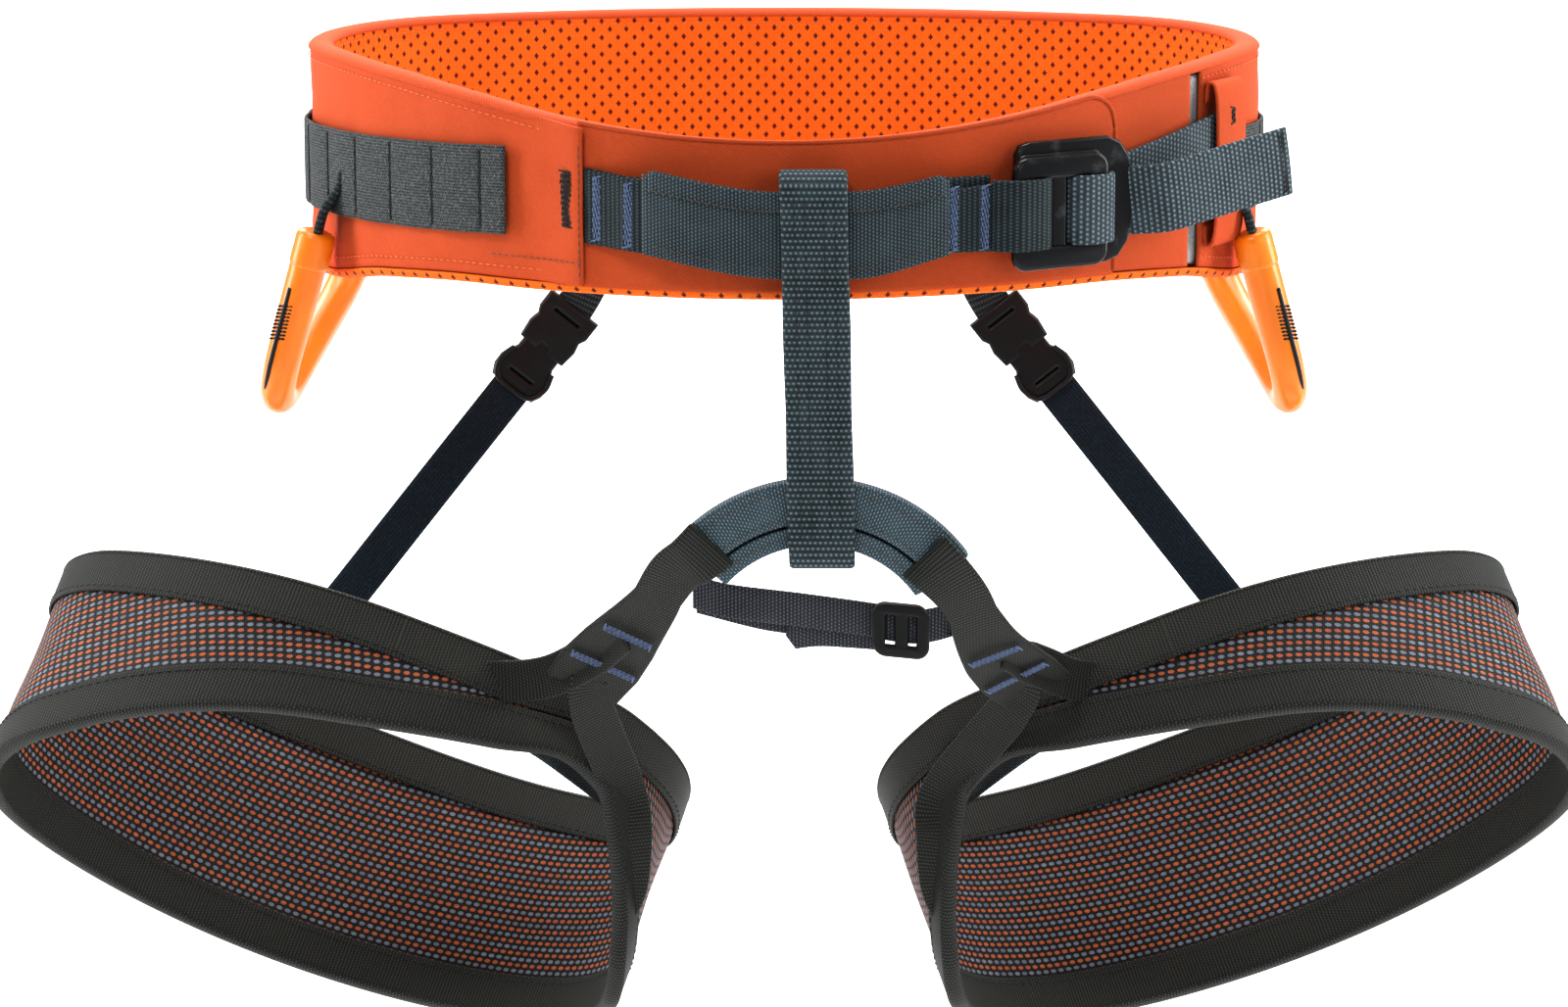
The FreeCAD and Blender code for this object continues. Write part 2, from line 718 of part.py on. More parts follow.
patch = label_patch.copy()
patch.Placement = leg_place
solid_node("leg_label", patch.mirror(V(0, 0, 0), V(1, 0, 0)))

# --------------------------------------------------------------- gear loops

GEAR_HIGH = -20.0
TAB_CLEAR = 6.5


def gear_route(half_span, leg):
    """Upright route of a gear loop: straight in front, a tight turn, a rising back run."""
    tight = size("gear_front_bend")
    wide = size("gear_back_bend")
    rise = math.radians(size("gear_rise"))

    def on_arc(y, z, radius, angle):
        return V(0, y + radius * math.sin(angle), z - radius * math.cos(angle))

    front_turn = (tight - half_span, -leg)
    low = on_arc(*front_turn, tight, rise)
    run = 2 * half_span - tight - wide - (tight - wide) * math.sin(rise)
    back_high = low.z + run * math.tan(rise) + wide * math.cos(rise)
    back_turn = (half_span - wide, back_high)
    if back_high > 0:
        raise RuntimeError("the gear loop's back run rises past its end")
    return Part.Wire([
        Part.LineSegment(V(0, -half_span, 0), V(0, -half_span, -leg)).toShape(),
        Part.Arc(V(0, -half_span, -leg), on_arc(*front_turn, tight, (rise - math.pi / 2) / 2),
                 low).toShape(),
        Part.LineSegment(low, on_arc(*back_turn, wide, rise)).toShape(),
        Part.Arc(on_arc(*back_turn, wide, rise),
                 on_arc(*back_turn, wide, (rise + math.pi / 2) / 2),
                 V(0, half_span, back_high)).toShape(),
        Part.LineSegment(V(0, half_span, back_high), V(0, half_span, 0)).toShape(),
    ])


def gear_loop(side, name):
    """Moulded tube that hangs from the side of the belt, its insert and its two tabs."""
    tube_radius = size("gear_tube") / 2
    half_span = size("gear_span") / 2
    leg = size("gear_leg")
    path = gear_route(half_span, leg)

    def pipe(radius):
        section = Part.Wire([Part.makeCircle(radius, V(0, -half_span, 0), V(0, 0, 1))])
        return path.makePipeShell([section], True, True)

    seat_x = half_width - size("gear_inset")
    seat_y = size("gear_back_shift")
    seat = V(side * seat_x, seat_y, GEAR_HIGH)
    flare = FreeCAD.Rotation(V(0, 1, 0), -side * size("gear_flare"))
    toe = FreeCAD.Rotation(V(0, 0, 1), side * size("gear_toe"))
    tube = pipe(tube_radius)
    front_side = Part.makeBox(4 * tube_radius, size("gear_insert_width"), leg,
                              V(-2 * tube_radius, -half_span - size("gear_insert_width") / 2,
                                -leg))
    insert = front_side.common(pipe(tube_radius).cut(pipe(tube_radius - 1.0)))
    outer_half = Part.makeBox(FAR, FAR, FAR, V(0 if side > 0 else -FAR, -FAR / 2, -FAR / 2))
    insert = insert.common(outer_half)
    for label, shape in (("gear_loop", tube.cut(insert)), ("gear_insert", insert)):
        item = solid_node(f"{label}_{name}", shape)
        item.Placement = FreeCAD.Placement(seat, toe.multiply(flare))
    turned = math.radians(size("gear_toe"))
    for end, way in (("front", -1), ("back", 1)):
        y = seat_y + way * half_span * math.cos(turned)
        end_x = seat_x - way * half_span * math.sin(turned)
        inset = belt.side - math.sqrt(belt.side ** 2 - y ** 2)
        start_x = half_width + strip_out - inset
        box = Part.makeBox(end_x + 2 - start_x, size("gear_tab_width"),
                           size("gear_tab_height"),
                           V(start_x, y - size("gear_tab_width") / 2, GEAR_HIGH + TAB_CLEAR))
        keep_out = Part.Face(belt.wire(strip_out + gap)).extrude(V(0, 0, FAR))
        keep_out.translate(V(0, 0, -FAR / 2))
        tab = box.cut(keep_out)
        if side < 0:
            tab = tab.mirror(V(0, 0, 0), V(1, 0, 0))
        solid_node(f"gear_tab_{name}_{end}", tab)


for side, name in ((-1, "left"), (1, "right")):
    gear_loop(side, name)

# ------------------------------------------------------------ check and write

doc.recompute()
for item in doc.Objects:
    if "Invalid" in item.State or "Error" in item.State:
        raise RuntimeError(f"{item.Label} failed: {item.State}")
for item in nodes:
    if item.Shape.isNull() or not item.Shape.isValid():
        raise RuntimeError(f"{item.Label} has no valid shape")
    if not item.Shape.Solids:
        raise RuntimeError(f"{item.Label} has no solid")

os.makedirs("parts", exist_ok=True)
for item in nodes:
    item.Shape.exportStep(f"parts/{item.Label}.step")
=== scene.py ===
import json
import math

import bmesh
import bpy
import numpy as np
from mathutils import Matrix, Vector, noise


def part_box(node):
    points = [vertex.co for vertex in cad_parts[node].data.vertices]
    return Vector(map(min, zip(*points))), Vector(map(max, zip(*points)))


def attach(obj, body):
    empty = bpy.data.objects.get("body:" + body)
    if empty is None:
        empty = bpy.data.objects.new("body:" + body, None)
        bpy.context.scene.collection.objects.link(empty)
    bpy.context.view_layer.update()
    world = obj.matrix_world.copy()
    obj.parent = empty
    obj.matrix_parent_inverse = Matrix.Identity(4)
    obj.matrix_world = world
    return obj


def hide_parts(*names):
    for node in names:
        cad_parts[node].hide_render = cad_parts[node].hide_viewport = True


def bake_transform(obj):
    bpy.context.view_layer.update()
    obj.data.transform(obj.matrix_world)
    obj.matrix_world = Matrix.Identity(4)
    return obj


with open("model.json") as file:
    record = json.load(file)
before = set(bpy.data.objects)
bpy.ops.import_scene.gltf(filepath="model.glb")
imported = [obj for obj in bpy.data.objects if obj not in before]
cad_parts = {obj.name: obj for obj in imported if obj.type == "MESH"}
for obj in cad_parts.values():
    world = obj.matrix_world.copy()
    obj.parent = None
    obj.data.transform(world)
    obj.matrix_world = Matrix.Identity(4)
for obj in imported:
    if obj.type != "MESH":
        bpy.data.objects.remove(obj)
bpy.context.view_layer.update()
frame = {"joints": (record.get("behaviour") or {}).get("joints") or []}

bl_info = {
    "name": "Climbing Sit Harness",
    "version": (1, 0, 0),
    "blender": (4, 5, 0),
    "location": "View3D > Sidebar > Harness",
    "description": "Builds the cloth, webbing, stitching and hardware of a climbing sit harness",
    "category": "Add Mesh",
}

# Lengths in the shape code are millimetres; meshes are made in metres.
MM = 0.001


def node_box(name):
    """Lowest and highest corners of a CAD node, in millimetres."""
    low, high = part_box(name)
    return np.array(low) / MM, np.array(high) / MM


def joint_called(name):
    return next(joint for joint in frame["joints"] if joint["name"] == name)


SHELL_LOW, SHELL_HIGH = node_box("waist_shell")
BELAY_LOW, BELAY_HIGH = node_box("belay_loop")
BELAY_X = (BELAY_LOW[0] + BELAY_HIGH[0]) / 2
SIDES = (("left", -1), ("right", 1))


# ------------------------------------------------------------------ outlines

class Oval:
    """Plan outline of four tangent arcs, followed by arc length from the front centre."""

    def __init__(self, half_width, side, front, back, steps=1440):
        centre = half_width - side
        points = []
        normals = []
        ends = {}
        for name, depth in (("front", front), ("back", back)):
            rise = depth - side
            past = (centre ** 2 - rise ** 2) / (2 * rise)
            ends[name] = (past, past + depth, math.atan2(centre, past))
        for index in range(steps):
            turn = -math.pi / 2 + 2 * math.pi * index / steps
            nx, ny = math.cos(turn), math.sin(turn)
            past, radius, reach = ends["front" if ny < 0 else "back"]
            from_y = math.atan2(abs(nx), abs(ny))
            if from_y < reach:
                mid = (0.0, past if ny < 0 else -past)
            else:
                mid = (math.copysign(centre, nx), 0.0)
                radius = side
            points.append((mid[0] + nx * radius, mid[1] + ny * radius))
            normals.append((nx, ny))
        points.append(points[0])
        normals.append(normals[0])
        self.points = np.array(points)
        self.normals = np.array(normals)
        lengths = np.linalg.norm(np.diff(self.points, axis=0), axis=1)
        self.run = np.concatenate([[0], np.cumsum(lengths)])
        self.length = self.run[-1]

    def at(self, s):
        """Point and outward normal at arc length s."""
        s = s % self.length
        x, y = (np.interp(s, self.run, self.points[:, k]) for k in (0, 1))
        nx, ny = (np.interp(s, self.run, self.normals[:, k]) for k in (0, 1))
        return x, y, nx, ny

    def front_at(self, x):
        """Arc length of the front point at x; negative left of the centre."""
        half = len(self.run) // 4
        if x >= 0:
            return float(np.interp(x, self.points[:half, 0], self.run[:half]))
        return -float(np.interp(-x, self.points[:half, 0], self.run[:half]))


def smooth_through(keys, values, period=None):
    """Smooth curve through key values that keeps between neighbouring keys."""
    keys, values = np.array(keys, float), np.array(values, float)
    steps = np.diff(values) / np.diff(keys)
    slopes = np.zeros(len(keys))
    for index in range(1, len(keys) - 1):
        a, b = steps[index - 1], steps[index]
        slopes[index] = 0.0 if a * b <= 0 else 2 * a * b / (a + b)
    if not period:
        slopes[0], slopes[-1] = steps[0], steps[-1]

    def value(at):
        at = at % period if period else min(max(at, keys[0]), keys[-1])
        index = int(np.clip(np.searchsorted(keys, at) - 1, 0, len(keys) - 2))
        gap = keys[index + 1] - keys[index]
        t = (at - keys[index]) / gap
        return ((2 * t ** 3 - 3 * t ** 2 + 1) * values[index]
                + (t ** 3 - 2 * t ** 2 + t) * gap * slopes[index]
                + (3 * t ** 2 - 2 * t ** 3) * values[index + 1]
                + (t ** 3 - t ** 2) * gap * slopes[index + 1])
    return value


def through(points, count, closed=False):
    """Even points along a smooth Catmull-Rom curve through the given points."""
    points = [np.array(p, float) for p in points]
    dense = []
    last = len(points) if closed else len(points) - 1
    for index in range(last):
        if closed:
            a, b, c, d = (points[(index + k) % len(points)] for k in (-1, 0, 1, 2))
        else:
            b, c = points[index], points[index + 1]
            a = points[index - 1] if index else 2 * b - c
            d = points[index + 2] if index + 2 < len(points) else 2 * c - b
        for step in range(24):
            t = step / 24
            dense.append(0.5 * ((2 * b) + (c - a) * t + (2 * a - 5 * b + 4 * c - d) * t ** 2
                                + (3 * b - a - 3 * c + d) * t ** 3))
    dense.append(points[0] if closed else points[-1])
    dense = np.array(dense)
    run = np.concatenate([[0], np.cumsum(np.linalg.norm(np.diff(dense, axis=0), axis=1))])
    wanted = np.linspace(0, run[-1], count + 1)[:-1] if closed else np.linspace(0, run[-1], count)
    return np.stack([np.interp(wanted, run, dense[:, k]) for k in range(3)], axis=1)


BELT_SIDE_RADIUS = 60.0
BELT = Oval(SHELL_HIGH[0], BELT_SIDE_RADIUS, -SHELL_LOW[1], SHELL_HIGH[1])
BELT_TOP = smooth_through([-118, -104, -86, -62, -30, 10, 75], [20, 25, 30.5, 34.5, 36.5, 37, 38])
BELT_BOTTOM = smooth_through([-118, -90, -60, -30, 20, 75], [-24.5, -24.5, -27, -32, -34, -34])
LEG_HALF_WIDTH = 103.0
LEG_HALF_DEPTH = 72.0
LEG_SIDE_RADIUS = 50.0
LEG = Oval(LEG_HALF_WIDTH, LEG_SIDE_RADIUS, LEG_HALF_DEPTH, LEG_HALF_DEPTH)
LEG_CENTRE = np.array([-141.5, -38.0, -199.0])
LEG_OUT = math.radians(21.5)
LEG_BACK = math.radians(-35.0)
LEG_TOP = smooth_through([0, 45, 90, 135, 180, 240, 270, 300, 318, 340, 360],
                         [40, 46, 51, 46, 39, 37, 37, 40, 43, 42, 40], 360)
LEG_BOTTOM = smooth_through([0, 45, 90, 135, 180, 205, 225, 250, 270, 292, 308, 318, 328, 338,
                             348, 360],
                            [-31, -33, -33, -33, -31, -25, -16, -5, 2, 12, 20, 18, 4, -12,
                             -25, -31], 360)


def belt_point(s, z, offset):
    x, y, nx, ny = BELT.at(s)
    return np.array([x + nx * offset, y + ny * offset, z])


def leg_turned(x, y, z, side):
    """Leg loop's own point, stood in the frame; side is -1 for the left loop."""
    cb, sb = math.cos(LEG_BACK), math.sin(LEG_BACK)
    y, z = y * cb - z * sb, y * sb + z * cb
    co, so = math.cos(LEG_OUT), math.sin(LEG_OUT)
    x, z = x * co + z * so, -x * so + z * co
    point = LEG_CENTRE + np.array([x, y, z])
    return np.array([point[0] * -side, point[1], point[2]])


def leg_angle(s):
    x, y, _, _ = LEG.at(s)
    """Angle round the leg outline, in degrees, at arc length s."""
    return math.degrees(math.atan2(y / LEG_HALF_DEPTH, x / LEG_HALF_WIDTH)) % 360


def leg_s(angle):
    """Arc length of the leg outline at an angle from 270 to 360 degrees."""
    lengths = np.linspace(0, LEG.length / 3, 200)
    angles = [leg_angle(s) + (360 if leg_angle(s) < 180 else 0) for s in lengths]
    return float(np.interp(angle, angles, lengths))


def leg_point(s, z, offset, side):
    x, y, nx, ny = LEG.at(s)
    return leg_turned(x + nx * offset, y + ny * offset, z, side)


def ruffle(point, scale, seed=0.0):
    """Soft noise from -1 to 1 at a point in millimetres."""
    return noise.noise(Vector((point[0] / scale + seed, point[1] / scale, point[2] / scale)))


# ------------------------------------------------------------------- meshes

def across(count, edge=0.06):
    """Shares from 0 to 1 with extra steps close to both edges."""
    inner = np.linspace(edge, 1 - edge, count)
    return np.concatenate([[0, edge * 0.12, edge * 0.45], inner, [1 - edge * 0.45,
                                                                 1 - edge * 0.12, 1]])


def finish_piece(name, mesh, body, material, replaces=()):
    """Object of a mesh on its body. When body is a tuple (first, second, start, end) instead, the
    piece is baked in place on no body, and the tuple's four values are not used."""
    piece = bpy.data.objects.new(name, mesh)
    bpy.context.scene.collection.objects.link(piece)
    mesh.materials.clear()
    mesh.materials.append(bpy.data.materials[material])
    if isinstance(body, str):
        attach(piece, body)
    else:
        first, second, start, end = body
        tuple(start * MM)
        tuple(end * MM)
        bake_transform(piece)
    if replaces:
        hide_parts(*replaces)
    return piece


def slab_mesh(name, grid, thick, closed=False):
    """Closed sheet with rounded edges about a grid of centre points (along, across)."""
    grid = np.asarray(grid, float)
    along, wide = grid.shape[:2]
    if closed:
        d_along = np.roll(grid, -1, axis=0) - np.roll(grid, 1, axis=0)
    else:
        d_along = np.gradient(grid, axis=0)
    d_wide = np.gradient(grid, axis=1)
    normal = np.cross(d_along, d_wide)
    normal /= np.maximum(np.linalg.norm(normal, axis=2, keepdims=True), 1e-9)
    steps = np.linalg.norm(np.diff(grid, axis=1), axis=2)
    v = np.concatenate([np.zeros((along, 1)), np.cumsum(steps, axis=1)], axis=1)
    width = v[:, -1:]
    half = np.minimum(thick / 2, width / 2)
    near = np.minimum(v, width - v)
    swell = np.sqrt(np.clip(1 - (1 - np.minimum(near / np.maximum(half, 1e-6), 1)) ** 2, 0, 1))
    if not closed:
        taper = np.ones(along)
        taper[0] = taper[-1] = 0.45
        swell = swell * taper[:, None]
    shift = normal * (half * swell)[..., None]
    front = grid + shift
    back = grid - shift
    loop = np.concatenate([front, back[:, -2:0:-1]], axis=1)
    v_loop = np.concatenate([v, v[:, -2:0:-1]], axis=1)
    ring = loop.shape[1]
    middle = grid[:, wide // 2]
    run = np.concatenate([[0], np.cumsum(np.linalg.norm(np.diff(middle, axis=0), axis=1))])
    total = run[-1] + (np.linalg.norm(middle[0] - middle[-1]) if closed else 0)
    faces = []
    uvs = []
    spans = along if closed else along - 1
    for i in range(spans):
        j = (i + 1) % along
        u0 = run[i]
        u1 = run[i + 1] if i + 1 < along else total
        for k in range(ring):
            m = (k + 1) % ring
            quad = [(i, k, u0), (j, k, u1), (j, m, u1), (i, m, u0)]
            faces.append([a * ring + b for a, b, _ in quad])
            uvs.extend([(u * MM, v_loop[a, b] * MM) for a, b, u in quad])
    if not closed:
        for i, order in ((0, 1), (along - 1, -1)):
            cap = [i * ring + k for k in range(ring)]
            cap = cap[::order]
            faces.append(cap)
            uvs.extend([(run[i] * MM, v_loop[i, k % ring] * MM) for k in range(ring)])
    mesh = bpy.data.meshes.new(name)
    mesh.from_pydata((loop.reshape(-1, 3) * MM).tolist(), [], faces)
    layer = mesh.uv_layers.new(name="UVMap")
    layer.data.foreach_set("uv", np.array(uvs, float).ravel())
    mesh.polygons.foreach_set("use_smooth", [True] * len(mesh.polygons))
    mesh.update()
    return mesh


def slab(name, grid, thick, body, material, replaces=(), closed=False):
    """Finished piece of sheet or webbing about a grid of points, its faces outwards."""
    mesh = slab_mesh(name, grid, thick, closed)
    centre = np.mean(np.asarray(grid).reshape(-1, 3), axis=0)
    if signed_volume(mesh, centre * MM) < 0:
        mesh.flip_normals()
    return finish_piece(name, mesh, body, material, replaces)


def signed_volume(mesh, about):
    """Six times the volume seen from a point: below zero when the faces look inwards."""
    mesh.calc_loop_triangles()
    count = len(mesh.vertices)
    points = np.empty(count * 3)
    mesh.vertices.foreach_get("co", points)
    points = points.reshape(-1, 3) - about
    index = np.empty(len(mesh.loop_triangles) * 3, dtype=int)
    mesh.loop_triangles.foreach_get("vertices", index)
    a, b, c = (points[index.reshape(-1, 3)[:, k]] for k in range(3))
    return float(np.einsum("ij,ij->i", a, np.cross(b, c)).sum())


def strap_grid(centres, wide_dirs, widths, bow=0.0, count=7):
    """Grid of a strap: centre points, directions across it and widths along it."""
    shares = across(count)
    grid = []
    tangents = np.gradient(centres, axis=0)
    for centre, wide, width, run in zip(centres, wide_dirs, widths, tangents):
        wide = wide / np.linalg.norm(wide)
        out = np.cross(run, wide)
        out /= max(np.linalg.norm(out), 1e-9)
        grid.append([centre + wide * (t - 0.5) * width + out * bow * (1 - (2 * t - 1) ** 2)
                     for t in shares])
    return np.array(grid)


def tube_mesh(name, path, radius, sides=16, squash=1.0, wide=None):
    """Capped tube along path; radius may be one number or one for each point."""
    path = np.asarray(path, float)
    radii = np.full(len(path), radius) if np.isscalar(radius) else np.asarray(radius)
    tangents = np.gradient(path, axis=0)
    tangents /= np.linalg.norm(tangents, axis=1, keepdims=True)
    side = np.array(wide if wide is not None else (0.0, 0.0, 1.0), float)
    rings = []
    for point, along, r in zip(path, tangents, radii):
        side = side - along * np.dot(side, along)
        side /= np.linalg.norm(side)
        up = np.cross(along, side)
        turns = np.linspace(0, 2 * math.pi, sides, endpoint=False)
        rings.append([point + (side * math.cos(a) * r + up * math.sin(a) * r * squash)
                      for a in turns])
    verts = np.array(rings).reshape(-1, 3)
    run = np.concatenate([[0], np.cumsum(np.linalg.norm(np.diff(path, axis=0), axis=1))])
    faces, uvs = [], []
    for i in range(len(path) - 1):
        for k in range(sides):
            m = (k + 1) % sides
            faces.append([i * sides + k, i * sides + m, (i + 1) * sides + m,
                          (i + 1) * sides + k])
            uvs += [(run[i] * MM, k / sides), (run[i] * MM, (k + 1) / sides),
                    (run[i + 1] * MM, (k + 1) / sides), (run[i + 1] * MM, k / sides)]
    for i, order in ((0, -1), (len(path) - 1, 1)):
        cap = [i * sides + k for k in range(sides)][::order]
        faces.append(cap)
        uvs += [(run[i] * MM, 0.5)] * sides
    mesh = bpy.data.meshes.new(name)
    mesh.from_pydata((verts * MM).tolist(), [], faces)
    layer = mesh.uv_layers.new(name="UVMap")
    layer.data.foreach_set("uv", np.array(uvs, float).ravel())
    mesh.polygons.foreach_set("use_smooth", [True] * len(mesh.polygons))
    if signed_volume(mesh, verts.mean(axis=0) * MM) < 0:
        mesh.flip_normals()
    return mesh


# ------------------------------------------------------------ geometry nodes

def thread_tree(name, profile_sides):
    """Nodes that lay a stitch at even steps along every curve, as real geometry."""
    tree = bpy.data.node_groups.new(name, "GeometryNodeTree")
    face = tree.interface
    face.new_socket("Geometry", in_out="INPUT", socket_type="NodeSocketGeometry")
    for label, default in (("Pitch", 0.003), ("Stitch Length", 0.0022), ("Thickness", 0.0004)):
        socket = face.new_socket(label, in_out="INPUT", socket_type="NodeSocketFloat")
        socket.default_value = default
    face.new_socket("Thread", in_out="INPUT", socket_type="NodeSocketMaterial")
    face.new_socket("Geometry", in_out="OUTPUT", socket_type="NodeSocketGeometry")
    nodes, links = tree.nodes, tree.links
    start = nodes.new("NodeGroupInput")
    end = nodes.new("NodeGroupOutput")
    spaced = nodes.new("GeometryNodeCurveToPoints")
    spaced.mode = "LENGTH"
    stitch = nodes.new("GeometryNodeMeshUVSphere")
    stitch.inputs["Segments"].default_value = profile_sides
    stitch.inputs["Rings"].default_value = 5
    stitch.inputs["Radius"].default_value = 0.5
    shape = nodes.new("ShaderNodeCombineXYZ")
    place = nodes.new("GeometryNodeInstanceOnPoints")
    real = nodes.new("GeometryNodeRealizeInstances")
    paint = nodes.new("GeometryNodeSetMaterial")
    links.new(start.outputs["Geometry"], spaced.inputs["Curve"])
    links.new(start.outputs["Pitch"], spaced.inputs["Length"])
    links.new(start.outputs["Thickness"], shape.inputs["X"])
    links.new(start.outputs["Thickness"], shape.inputs["Y"])
    links.new(start.outputs["Stitch Length"], shape.inputs["Z"])
    links.new(spaced.outputs["Points"], place.inputs["Points"])
    links.new(spaced.outputs["Rotation"], place.inputs["Rotation"])
    links.new(stitch.outputs["Mesh"], place.inputs["Instance"])
    links.new(shape.outputs["Vector"], place.inputs["Scale"])
    links.new(place.outputs["Instances"], real.inputs["Geometry"])
    links.new(real.outputs["Geometry"], paint.inputs["Geometry"])
    links.new(start.outputs["Thread"], paint.inputs["Material"])
    links.new(paint.outputs["Geometry"], end.inputs["Geometry"])
    return tree


def socket_of(tree, label):
    for item in tree.interface.items_tree:
        if item.item_type == "SOCKET" and item.in_out == "INPUT" and item.name == label:
            return item.identifier
    raise RuntimeError(f"no input called {label}")


def stitches(name, lines, body, material, pitch=3.0, length=2.3, thick=0.5):
    """Rows of stitches along lines of points in millimetres, made one plain mesh."""
    tree = bpy.data.node_groups.get("stitch_rows") or thread_tree("stitch_rows", 6)
    curve = bpy.data.curves.new(name, "CURVE")
    curve.dimensions = "3D"
    for line in lines:
        spline = curve.splines.new("POLY")
        spline.points.add(len(line) - 1)
        for point, place in zip(spline.points, line):
            point.co = (*(np.asarray(place) * MM), 1.0)
    holder = bpy.data.objects.new(f"{name}_rows", curve)
    bpy.context.scene.collection.objects.link(holder)
    rows = holder.modifiers.new("rows", "NODES")
    rows.node_group = tree
    for label, value in (("Pitch", pitch * MM), ("Stitch Length", length * MM),
                         ("Thickness", thick * MM), ("Thread", bpy.data.materials[material])):
        rows[socket_of(tree, label)] = value
    bpy.context.view_layer.update()
    ready = holder.evaluated_get(bpy.context.evaluated_depsgraph_get())
    mesh = bpy.data.meshes.new_from_object(ready)
    holder.modifiers.remove(rows)
    bpy.data.objects.remove(holder)
    bpy.data.curves.remove(curve)
    mesh.name = name
    mesh.polygons.foreach_set("use_smooth", [True] * len(mesh.polygons))
    return finish_piece(name, mesh, body, material)


def bartack(start, end, lift, wide=2.6):
    """Zigzag line from start to end, wide across, lying lift above the cloth."""
    start, end, lift = (np.array(p, float) for p in (start, end, lift))
    run = end - start
    length = np.linalg.norm(run)
    over = np.cross(run / length, lift / np.linalg.norm(lift))
    count = max(6, int(length / 0.75))
    points = []
    for index in range(count + 1):
        sway = wide / 2 * (1 if index % 2 else -1)
        points.append(start + run * index / count + over * sway + lift)
    return points


# ---------------------------------------------------------------- materials

class Wire:
    """A shader socket that takes part in Python sums."""

    def __init__(self, shade, socket):
        self.shade = shade
        self.socket = socket

    def math(self, operation, other=None, swap=False):
        values = [self] if other is None else ([other, self] if swap else [self, other])
        return self.shade.node("ShaderNodeMath", {"operation": operation}, dict(enumerate(values)))

    def __add__(self, other):
        return self.math("ADD", other)

    __radd__ = __add__

    def __sub__(self, other):
        return self.math("SUBTRACT", other)

    def __rsub__(self, other):
        return self.math("SUBTRACT", other, True)

    def __mul__(self, other):
        return self.math("MULTIPLY", other)

    __rmul__ = __mul__

    def __truediv__(self, other):
        return self.math("DIVIDE", other)

    def __abs__(self):
        return self.math("ABSOLUTE")

    def __gt__(self, other):
        return self.math("GREATER_THAN", other)

    def sine(self):
        return self.math("SINE")

    def fraction(self):
        return self.math("FRACT")

    def whole(self):
        return self.math("FLOOR")

    def least(self, other):
        return self.math("MINIMUM", other)

    def ramp(self, low, high):
        """Smooth step from 0 at low to 1 at high."""
        return self.shade.node("ShaderNodeMapRange", {"interpolation_type": "SMOOTHSTEP"},
                               {"Value": self, "From Min": low, "From Max": high})


class Shade:
    """A Principled material under construction."""

    def __init__(self, name, roughness=0.8, metallic=0.0, **fixed):
        self.material = bpy.data.materials.new(name)
        self.material.use_nodes = True
        self.tree = self.material.node_tree
        self.surface = self.tree.nodes["Principled BSDF"]
        self.surface.inputs["Roughness"].default_value = roughness
        self.surface.inputs["Metallic"].default_value = metallic
        for label, value in fixed.items():
            self.surface.inputs[label.replace("_", " ")].default_value = value
        mapped = self.node("ShaderNodeTexCoord", {}, {}, "UV")
        split = self.node_raw("ShaderNodeSeparateXYZ", {}, {"Vector": mapped})
        self.u = Wire(self, split.outputs["X"]) * 1000.0
        self.v = Wire(self, split.outputs["Y"]) * 1000.0
        self.place = self.node("ShaderNodeTexCoord", {}, {}, "Object")

    def node_raw(self, kind, settings, inputs):
        made = self.tree.nodes.new(kind)
        for label, value in settings.items():
            setattr(made, label, value)
        for label, value in inputs.items():
            target = made.inputs[label]
            if isinstance(value, Wire):
                self.tree.links.new(value.socket, target)
            else:
                target.default_value = value
        return made

    def node(self, kind, settings, inputs, output=0):
        return Wire(self, self.node_raw(kind, settings, inputs).outputs[output])

    def noise(self, scale, detail=2.0, where=None):
        return self.node("ShaderNodeTexNoise", {}, {"Vector": where or self.place,
                                                    "Scale": scale, "Detail": detail})

    def mix(self, share, low, high):
        made = self.node_raw("ShaderNodeMix", {"data_type": "RGBA"}, {})
        for index, value in ((0, share), (6, low), (7, high)):
            if isinstance(value, Wire):
                self.tree.links.new(value.socket, made.inputs[index])
            else:
                made.inputs[index].default_value = value
        return Wire(self, made.outputs[2])

    def colour(self, wire):
        self.tree.links.new(wire.socket, self.surface.inputs["Base Color"])

    def rough(self, wire):
        self.tree.links.new(wire.socket, self.surface.inputs["Roughness"])

    def bump(self, height, strength=0.5, distance=0.0004):
        bumped = self.node("ShaderNodeBump", {}, {"Height": height, "Strength": strength,
                                                  "Distance": distance})
        self.tree.links.new(bumped.socket, self.surface.inputs["Normal"])


def rgb(red, green, blue):
    """Colour from 0-255 screen values, as linear light."""
    def linear(value):
        value = value / 255.0
        return value / 12.92 if value <= 0.04045 else ((value + 0.055) / 1.055) ** 2.4
    return (linear(red), linear(green), linear(blue), 1.0)


def wave(wire, pitch, shift=0.0):
    """Rounded ridge from 0 to 1, repeated every pitch millimetres."""
    return ((wire + shift) * (2 * math.pi / pitch)).sine() * 0.5 + 0.5


def woven(name, dark, light, warp=0.9, weft=0.7, gain=1.0, roughness=0.75, strength=0.7,
          sheen=0.3, mottling=0.2):
    """Webbing: threads along and across, over and under by turns."""
    cloth = Shade(name, roughness, Specular_IOR_Level=sheen)
    row = (cloth.u / weft).whole()
    shifted = cloth.v + row * (warp / 2)
    over = wave(shifted, warp)
    ridge = wave(cloth.u, weft)
    height = (over * 0.72 + 0.28) * ridge
    patch = cloth.noise(140.0) * mottling
    cloth.colour(cloth.mix((height * height * gain + patch).least(1.0), dark, light))
    cloth.bump(height, strength, 0.0003)
    return cloth.material


